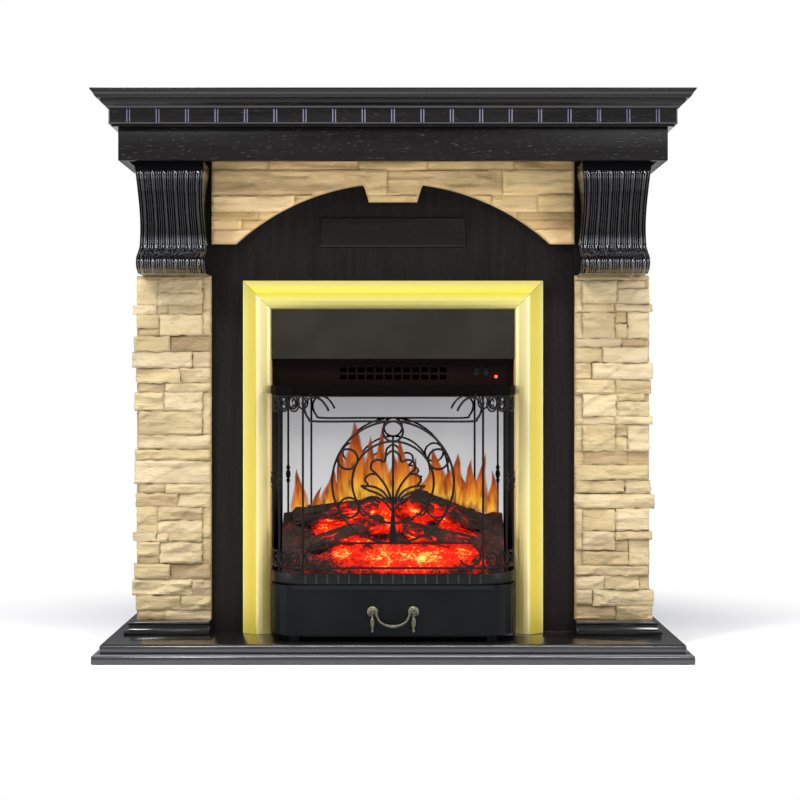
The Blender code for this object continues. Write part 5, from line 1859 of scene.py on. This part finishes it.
@dataclass
class Guard(Assembly):
    """The scrolled guard in wrought bar."""

    bar: float = 0.0019
    span: float = 0.150
    outer: float = 0.2087
    clear: float = 0.0035
    bow: float = 0.088
    posts: Sequence[float] = (0.53, 1.0)
    bays: Sequence[Flat] = ((0.05, 0.53), (0.53, 1.0))
    ring_places: Sequence[tuple[float, int]] = ((0.27, 1), (0.73, -1))
    ring_drop: float = 0.0135
    ring_wide: float = 0.105
    ring_tall: float = 0.0125
    finish: Enamel = Enamel("wrought", (0.0045, 0.0036, 0.0032), 0.34, 0.50, 700.0, 0.14)
    leaf: Sequence[Flat] = (
        (0.002, 0.052), (0.011, 0.044), (0.014, 0.034), (0.024, 0.037), (0.034, 0.033), (0.036, 0.022),
        (0.028, 0.014), (0.038, 0.013), (0.046, 0.005), (0.041, -0.006), (0.052, -0.006), (0.040, -0.013),
        (0.022, -0.020), (0.003, -0.034),
    )
    veins: Sequence[Sequence[Flat]] = (
        ((0.002, -0.030), (0.010, -0.010), (0.019, 0.004), (0.028, 0.014)),
        ((0.002, -0.036), (0.014, -0.018), (0.027, -0.009), (0.041, -0.006)),
    )
    scroll: Sequence[Flat] = (
        (0.002, -0.046), (0.016, -0.030), (0.034, -0.024), (0.050, -0.030), (0.056, -0.043), (0.048, -0.054),
        (0.038, -0.050),
    )
    knuckle: Sequence[Flat] = (
        (0, 0.0175), (0.0020, 0.0170), (0.0026, 0.0150), (0.0036, 0.0125), (0.0037, 0.0105), (0.0024, 0.0085),
        (0.0028, 0.0068), (0.0040, 0.0040),
    )
    knuckle_radius: float = 0.0046

    def build(self) -> None:
        """Builds the middle and both sides."""
        low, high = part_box("guard_centre")
        self.y = (low.y + high.y) / 2
        self.foot = low.z
        self.top = high.z - self.bar
        self.bottom = self.foot + 0.009
        self.upper, self.lower = self.top - 0.0425, self.bottom + 0.0415
        self.middle = (self.upper + self.lower) / 2
        self.big = (self.upper - self.lower) / 2
        self.centre()
        for side, name in ((-1, "left"), (1, "right")):
            self.wing(side, name)

    def flat(self, path: Sequence[Flat]) -> list[Point]:
        """A path in the guard's plane."""
        return [(x, self.y, z) for x, z in path]

    def ring(self, x: float, z: float, r: float, steps: int) -> list[Point]:
        """A ring in the guard's plane.

        Args:
            x: Its middle from the left.
            z: Its middle's height.
            r: Its radius.
            steps: Steps round.

        Returns:
            Its points.
        """
        turn = 2 * math.pi / steps
        return [(x + r * math.cos(i * turn), self.y, z + r * math.sin(i * turn)) for i in range(steps)]

    def hooked(self) -> list[list[Point]]:
        """The two long bars whose ends are hooked up and curled down.

        Returns:
            The path of each bar.
        """
        u, w = self.upper, self.lower
        hook = [(0.130, u), (0.1405, u + 0.005), (0.1465, u + 0.016), (0.1470, u + 0.027),
                (0.1405, u + 0.037), (0.1295, u + 0.040), (0.1190, u + 0.035), (0.1110, u + 0.025),
                (0.1070, u + 0.017)]
        curl = [(0.126, w), (0.1375, w - 0.006), (0.1455, w - 0.018), (0.1430, w - 0.031),
                (0.1300, w - 0.0385), (0.1180, w - 0.035), (0.1120, w - 0.028)]
        bars = []
        for shape in (hook, curl):
            left = [(-x, z) for x, z in reversed(shape)]
            bars.append(smoothed(self.flat([*left, (-0.05, shape[0][1]), (0.05, shape[0][1]), *shape]), 6))
        return bars

    def centre(self) -> None:
        """Builds the flat middle with its rings and leaf."""
        s, m, k = self.span, self.middle, self.big / 0.100
        straight = [
            self.flat([(-s, self.top), (s, self.top)]), self.flat([(-s, self.bottom), (s, self.bottom)]),
            self.flat([(-s, self.foot), (-s, self.top)]), self.flat([(s, self.foot), (s, self.top)]),
        ]
        curved = self.hooked()
        for shape in (self.leaf, *self.veins, self.scroll):
            for sign in (-1, 1):
                curved.append(smoothed(self.flat([(sign * x * k, m + z * k) for x, z in shape]), 6))
        small = self.big * 0.165
        inside = self.big - 2 * small
        rings = [self.ring(0, m, self.big, 96), self.ring(0, m, inside, 72)]
        for angle in (90, 27, 153, -30, 210):
            a, r = math.radians(angle), inside + small
            rings.append(self.ring(r * math.cos(a), m + r * math.sin(a), small, 40))
        parts = [wire_bmesh(straight, self.bar), wire_bmesh(curved, self.bar),
                 wire_bmesh(rings, self.bar, closed=True), self.stem(m, k, inside)]
        Kit.piece("guard_middle_bars", merged(parts), self.finish, "wrought_iron", replaces=["guard_centre"])

    def stem(self, middle: float, share: float, inside: float) -> Shape:
        """Makes the leaf's stem, thick at its foot and beaten flat.

        Args:
            middle: Height of the rings' middle.
            share: Size of the leaf as a share of its drawing.
            inside: Radius of the inner ring.

        Returns:
            The stem.
        """
        path = smoothed(self.flat([(0, middle - self.big), (0, middle - 0.05 * share), (0, middle),
                                   (0, middle + inside)]), 6)
        weights = []
        for i in range(len(path)):
            t = i / (len(path) - 1)
            weights.append(3.2 if t < 0.06 else max(1.0, 3.4 - 7.0 * (t - 0.06)) if t < 0.5 else 1.0)
        bm = wire_bmesh([path], self.bar, 4, weights=weights)
        for v in bm.verts:
            v.co.y = self.y + (v.co.y - self.y) * 0.45
        return bm

    def wing(self, side: int, name: str) -> None:
        """Builds one bowed side with its scrolls and turned knuckles.

        Args:
            side: -1 for the left and 1 for the right.
            name: The side's name.
        """
        reach = self.outer - self.clear - self.span

        def place(t: float, z: float) -> Point:
            """A place on the bow, from 0 at the middle to 1 at the back."""
            a = math.pi / 2 * t
            return (side * (self.span + reach * math.sin(a)), self.y + self.bow * (1 - math.cos(a)), z)

        steps = [0.045 + 0.955 * i / 20 for i in range(21)]
        bars = [[place(t, z) for t in steps] for z in (self.top, self.bottom)]
        bars += [[place(t, self.foot), place(t, self.top)] for t in self.posts]
        rings, curls = [], []
        for start, end in self.bays:
            for share, turn in self.ring_places:
                t = start + (end - start) * share
                for z, up in ((self.top - self.ring_drop, 1), (self.bottom + self.ring_drop, -1)):
                    angles = [i * math.pi / 14 for i in range(28)]
                    rings.append([place(t + self.ring_wide * math.cos(w), z + self.ring_tall * math.sin(w))
                                  for w in angles])
                    curl = []
                    for i in range(15):
                        w, r = turn * (1.2 + i * 0.36), (1.0 - i / 18) * 0.75
                        curl.append(place(t + self.ring_wide * r * math.cos(w),
                                          z + self.ring_tall * r * up * math.sin(w)))
                    curls.append(curl)
        parts = [wire_bmesh(bars, self.bar), wire_bmesh(rings, self.bar * 0.85, closed=True),
                 wire_bmesh(curls, self.bar * 0.8)]
        profile = [*self.knuckle, (self.knuckle_radius, 0.0), *((r, -z) for r, z in reversed(self.knuckle))]
        for t in self.posts:
            knuckle = turned_bmesh(profile, 24)
            bmesh.ops.translate(knuckle, verts=knuckle.verts, vec=place(t, self.middle))
            parts.append(knuckle)
        Kit.piece(f"guard_{name}_bars", merged(parts), self.finish, "wrought_iron",
                  replaces=[f"guard_{name}"])


@dataclass
class Handle(Assembly):
    """The bail handle and its rosettes."""

    finish: Metal = Metal("antique", (0.115, 0.108, 0.078), 0.32, 0.50, 0.95, (1.0, 1.0, 1.0), 0.08)
    drop_down: float = 0.0092
    face: Sequence[Flat] = (
        (0, 0.0046), (0.0022, 0.0050), (0.0040, 0.0046), (0.0052, 0.0040), (0.0060, 0.0044), (0.0072, 0.0040),
        (0.0080, 0.0028), (0.0090, 0.0022), (0.0092, 0.0010), (0.0092, 0.0), (0, 0.0),
    )
    petals: int = 8
    petal_depth: float = 0.0006
    boss: Sequence[Flat] = (
        (0, 0.0105), (0.0026, 0.0103), (0.0036, 0.0090), (0.0038, 0.0070), (0.0036, 0.0045), (0.0030, 0.0020),
        (0, 0.0020),
    )
    drop: Sequence[Flat] = (
        (0, 0.0005), (0.0016, 0.0), (0.0020, -0.0060), (0.0016, -0.0085), (0.0030, -0.0105),
        (0.0042, -0.0150), (0.0044, -0.0190), (0.0036, -0.0235), (0.0020, -0.0270), (0.0016, -0.0285),
        (0.0026, -0.0310), (0.0022, -0.0330), (0, -0.0348),
    )
    drop_out: float = 0.0049
    sweep: Sequence[Point] = (
        (-0.0400, 0, 0), (-0.0300, 0, 0), (-0.0282, 0, -0.002), (-0.0262, -0.0010, -0.0075),
        (-0.0222, -0.002, -0.0150), (-0.0140, -0.0024, -0.0205), (-0.0060, -0.0024, -0.0230),
    )
    sag: Point = (0.0, -0.0024, -0.0236)
    swell: Sequence[float] = (0.75, 0.75, 1.0, 1.1, 1.2, 1.3, 1.65)
    thickest: float = 1.95
    wire: float = 0.0017
    pin: float = 0.0013

    def build(self) -> None:
        """Builds the rosettes with their drops, and the bail."""
        for side in ("left", "right"):
            self.rosette(f"rosette_{side}")
        self.bail()

    def rosette(self, node: str) -> None:
        """Builds one rosette with its boss and drop.

        Args:
            node: Name of the CAD node that it replaces.
        """
        low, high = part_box(node)
        x, z = (low.x + high.x) / 2, high.z - self.drop_down
        face = turned_bmesh(self.face, 40)
        for v in face.verts:
            if 0.004 < math.hypot(v.co.x, v.co.y) < 0.0078:
                turn = self.petals * math.atan2(v.co.y, v.co.x)
                v.co.z -= self.petal_depth * (0.5 + 0.5 * math.cos(turn))
        whole = merged([face, turned_bmesh(self.boss, 24)])
        upright = Matrix.Translation((x, high.y, z)) @ Matrix.Rotation(math.pi / 2, 4, "X")
        bmesh.ops.transform(whole, matrix=upright, verts=whole.verts)
        drop = turned_bmesh(self.drop, 20)
        bmesh.ops.translate(drop, verts=drop.verts, vec=(x, high.y - self.drop_out, z))
        Kit.piece(f"{node}_cast", merged([whole, drop]), self.finish, "antique_brass", Body.DRAWER, [node])

    def bail(self) -> None:
        """Builds the bail, thicker towards its middle."""
        _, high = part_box("bail_handle")
        y, z = high.y - self.pin, high.z - self.pin
        path = [*self.sweep, self.sag, *((-a, b, c) for a, b, c in reversed(self.sweep))]
        weights = [*self.swell, self.thickest, *reversed(self.swell)]
        fine = smoothed([(a, y + b, z + c) for a, b, c in path], 8)
        widths = [w[0] for w in smoothed([(w, 0.0, 0.0) for w in weights], 8)]
        Kit.piece("bail_cast", wire_bmesh([fine], self.wire, 4, weights=widths), self.finish, "antique_brass",
                  Body.BAIL, ["bail_handle"])


@dataclass
class Insert(Assembly):
    """Housing, hood, controls and the works behind."""

    eased: float = 0.0005
    corner: float = 0.7

    def dress(self) -> None:
        """Gives the insert's nodes their finishes."""
        lip = min(v.co.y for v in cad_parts["drawer_front"].data.vertices)
        Kit.dress(Enamel("enamel_satin", (0.0050, 0.0056, 0.0068), shine=0.08), "base_pan", "drawer_box")
        # The drawer front's lip gets a faint painted highlight.
        Kit.dress(Enamel("enamel_drawer", (0.0044, 0.0050, 0.0056), shine=0.07, front=lip, front_painted_highlight=0.002),
                  "drawer_front")
        Kit.dress(Enamel("enamel_canopy", (0.0020, 0.0016, 0.0015), 0.45, 0.55, shine=0.015), "canopy_lip")
        Kit.dress(Enamel("enamel_hood", (0.015, 0.0144, 0.0108), 0.45, 0.55, shine=0.10), "hood_panel")
        Kit.dress(Enamel("enamel_dark", (0.004, 0.004, 0.004), shine=0.10), "insert_housing", "cheek_left",
                  "cheek_right")
        Kit.dress(Enamel("enamel_red", (0.0085, 0.0030, 0.0022), shine=0.10), "heater_fascia",
                  "outlet_grille")
        Kit.dress(Enamel("moulded", (0.012, 0.012, 0.012), 0.3, 0.4, 900.0), "rocker_inner", "rocker_outer",
                  "control_box", "cable_gland")
        Kit.dress(Enamel("board", (0.02, 0.10, 0.04), 0.4, 0.5), "lamp_board")
        Kit.dress(Lit(), "indicator_lamp")
        Kit.dress(Silvered(), "flame_screen")
        Kit.dress(Metal("plated", (0.26, 0.26, 0.255), 0.35, 0.5), "flame_template", "flicker_spindle",
                  "spindle_motor", "blower_duct", "blower_wheel", "blower_motor")
        Kit.dress(Metal("element", (0.22, 0.17, 0.14), 0.45, 0.6), "heating_element")

    def build(self) -> None:
        """Eases the edges of the ribbed tray under the embers, whose rib fronts get a painted highlight."""
        tray = eased_copy("ember_tray", self.eased, self.corner)
        rib = min(v.co.y for v in tray.verts)
        finish = Enamel("enamel_tray", (0.0060, 0.0056, 0.0056), shine=0.14, front=rib)
        Kit.piece("ember_tray_eased", tray, finish, "black_enamel", replaces=["ember_tray"], smooth=0.5)


@dataclass
class Studio:
    """Camera, lights, floor and surroundings."""

    eye: Point = (0.0, -EYE_BACK, EYE_HEIGHT)
    lens: float = 82.08
    sensor: float = 36.0
    shift: Flat = (0.00875, -0.02)
    heights: Sequence[Flat] = ((0.4975, 0.46), (0.500, 0.14), (0.56, 0.12), (0.64, 0.22), (0.85, 0.42))
    below: Colour = (0.62, 0.62, 0.63)
    flank: Colour = (1.15, 1.15, 1.30)
    cool: Colour = (0.84, 0.87, 1.0)
    floor_size: float = 14.0

    def camera(self) -> None:
        """Places the camera level, straight in front."""
        data = bpy.data.cameras.new("camera")
        data.lens = self.lens
        data.sensor_width = self.sensor
        data.shift_x, data.shift_y = self.shift
        thing = bpy.data.objects.new("camera", data)
        thing.location = self.eye
        thing.rotation_euler = (math.pi / 2, 0.0, 0.0)
        bpy.context.scene.collection.objects.link(thing)
        bpy.context.scene.camera = thing

    def light(self, name: str, where: Point, aim: Point, size: Flat, power: float,
              colour: Colour = WHITE) -> None:
        """Adds a soft light aimed at a point.

        Args:
            name: Its name.
            where: Its place.
            aim: What it is aimed at.
            size: Its width and height.
            power: Its power in watts.
            colour: Its colour.
        """
        data = bpy.data.lights.new(name, "AREA")
        data.shape = "RECTANGLE"
        data.size, data.size_y = size
        data.energy = power
        data.color = colour
        thing = bpy.data.objects.new(name, data)
        thing.location = where
        thing.rotation_euler = (Vector(aim) - Vector(where)).to_track_quat("-Z", "Y").to_euler()
        bpy.context.scene.collection.objects.link(thing)

    def world(self) -> None:
        """White behind the object and soft grey all round, brighter at both sides."""
        world = bpy.data.worlds.new("studio")
        bpy.context.scene.world = world
        world.use_nodes = True
        world.node_tree.nodes.clear()
        n = Nodes(world.node_tree)
        spot = n.split(n.add("ShaderNodeTexCoord").outputs["Generated"])
        stops = [(0.4865, self.below), *((at, (level, level, level * 1.03)) for at, level in self.heights)]
        shade = n.ramp(n.span(spot["Z"], -1.0, 1.0), stops)
        aside = n.span(n.math("ABSOLUTE", spot["X"], 0.0), 0.80, 0.97)
        soft = n.add("ShaderNodeBackground", Strength=1.0)
        n.link(n.mix(aside, shade, self.flank), soft.inputs["Color"])
        white = n.add("ShaderNodeBackground", Color=(*WHITE, 1.0))
        both = n.add("ShaderNodeMixShader")
        n.link(n.add("ShaderNodeLightPath").outputs["Is Camera Ray"], both.inputs["Fac"])
        n.link(soft.outputs[0], both.inputs[1])
        n.link(white.outputs[0], both.inputs[2])
        n.link(both.outputs[0], n.add("ShaderNodeOutputWorld").inputs["Surface"])

    def floor(self) -> None:
        """A pale floor that is lost in white away from the object."""
        bm = bmesh.new()
        bmesh.ops.create_grid(bm, x_segments=4, y_segments=4, size=self.floor_size)
        bmesh.ops.translate(bm, verts=bm.verts, vec=(0, 0, -0.0005))
        mesh = bpy.data.meshes.new("floor")
        bm.to_mesh(mesh)
        bm.free()
        thing = bpy.data.objects.new("floor", mesh)
        bpy.context.scene.collection.objects.link(thing)
        n = Paint("floor")
        n.set(Base_Color=(0.93, 0.93, 0.93), Roughness=0.9, Specular_IOR_Level=0.1)
        length = n.add("ShaderNodeVectorMath", operation="LENGTH")
        n.link(n.place(), length.inputs[0])
        away = length.outputs["Value"]
        greys = [(at, (level, level, level)) for at, level in ((0.0, 1.05), (0.36, 0.86), (1.0, 0.62))]
        dim = n.ramp(n.span(away, 1.5, self.floor_size), greys)
        seen = n.add("ShaderNodeLightPath").outputs["Is Camera Ray"]
        bright = n.add("ShaderNodeEmission")
        n.link(n.mix(seen, dim, WHITE), bright.inputs["Color"])
        blend = n.add("ShaderNodeMixShader")
        n.link(n.span(away, 0.62, 1.15, soft=True), blend.inputs[0])
        n.link(n.shader.outputs[0], blend.inputs[1])
        n.link(bright.outputs[0], blend.inputs[2])
        n.link(blend.outputs[0], n.output.inputs["Surface"])
        mesh.materials.append(n.material)

    def build(self) -> None:
        """Builds the whole studio."""
        self.camera()
        self.world()
        self.floor()
        self.light("key", (-1.5, -2.3, 2.5), (0, 0, 0.45), (0.6, 0.6), 62.0)
        self.light("fill", (1.7, -2.6, 1.9), (0, 0, 0.45), (0.6, 0.6), 36.0)
        self.light("top", (0.0, -1.2, 2.7), (0, -0.1, 0.3), (2.0, 0.4), 52.0)
        for name, side in (("strip_left", -1), ("strip_right", 1)):
            self.light(name, (side * 1.95, -0.72, 0.70), (0, -0.15, 0.60), (0.50, 1.3), 13.0, self.cool)
        bpy.context.scene.view_settings.view_transform = "Standard"


class Suite:
    """The whole object."""

    def __init__(self) -> None:
        """Lists the assemblies."""
        self.parts: tuple[Assembly, ...] = (
            Surround(), Corbels(), Cladding(), Trim(), Insert(), Fire(), Guard(), Handle(),
        )

    def build(self) -> None:
        """Dresses and builds each assembly."""
        for part in self.parts:
            part.dress()
            part.build()
            LOG.info("made %s", type(part).__name__)


def main() -> None:
    """Makes the scene."""
    logging.basicConfig(level=logging.INFO, format="%(name)s: %(message)s")
    Studio().build()
    Suite().build()


if __name__ == "__main__":
    main()
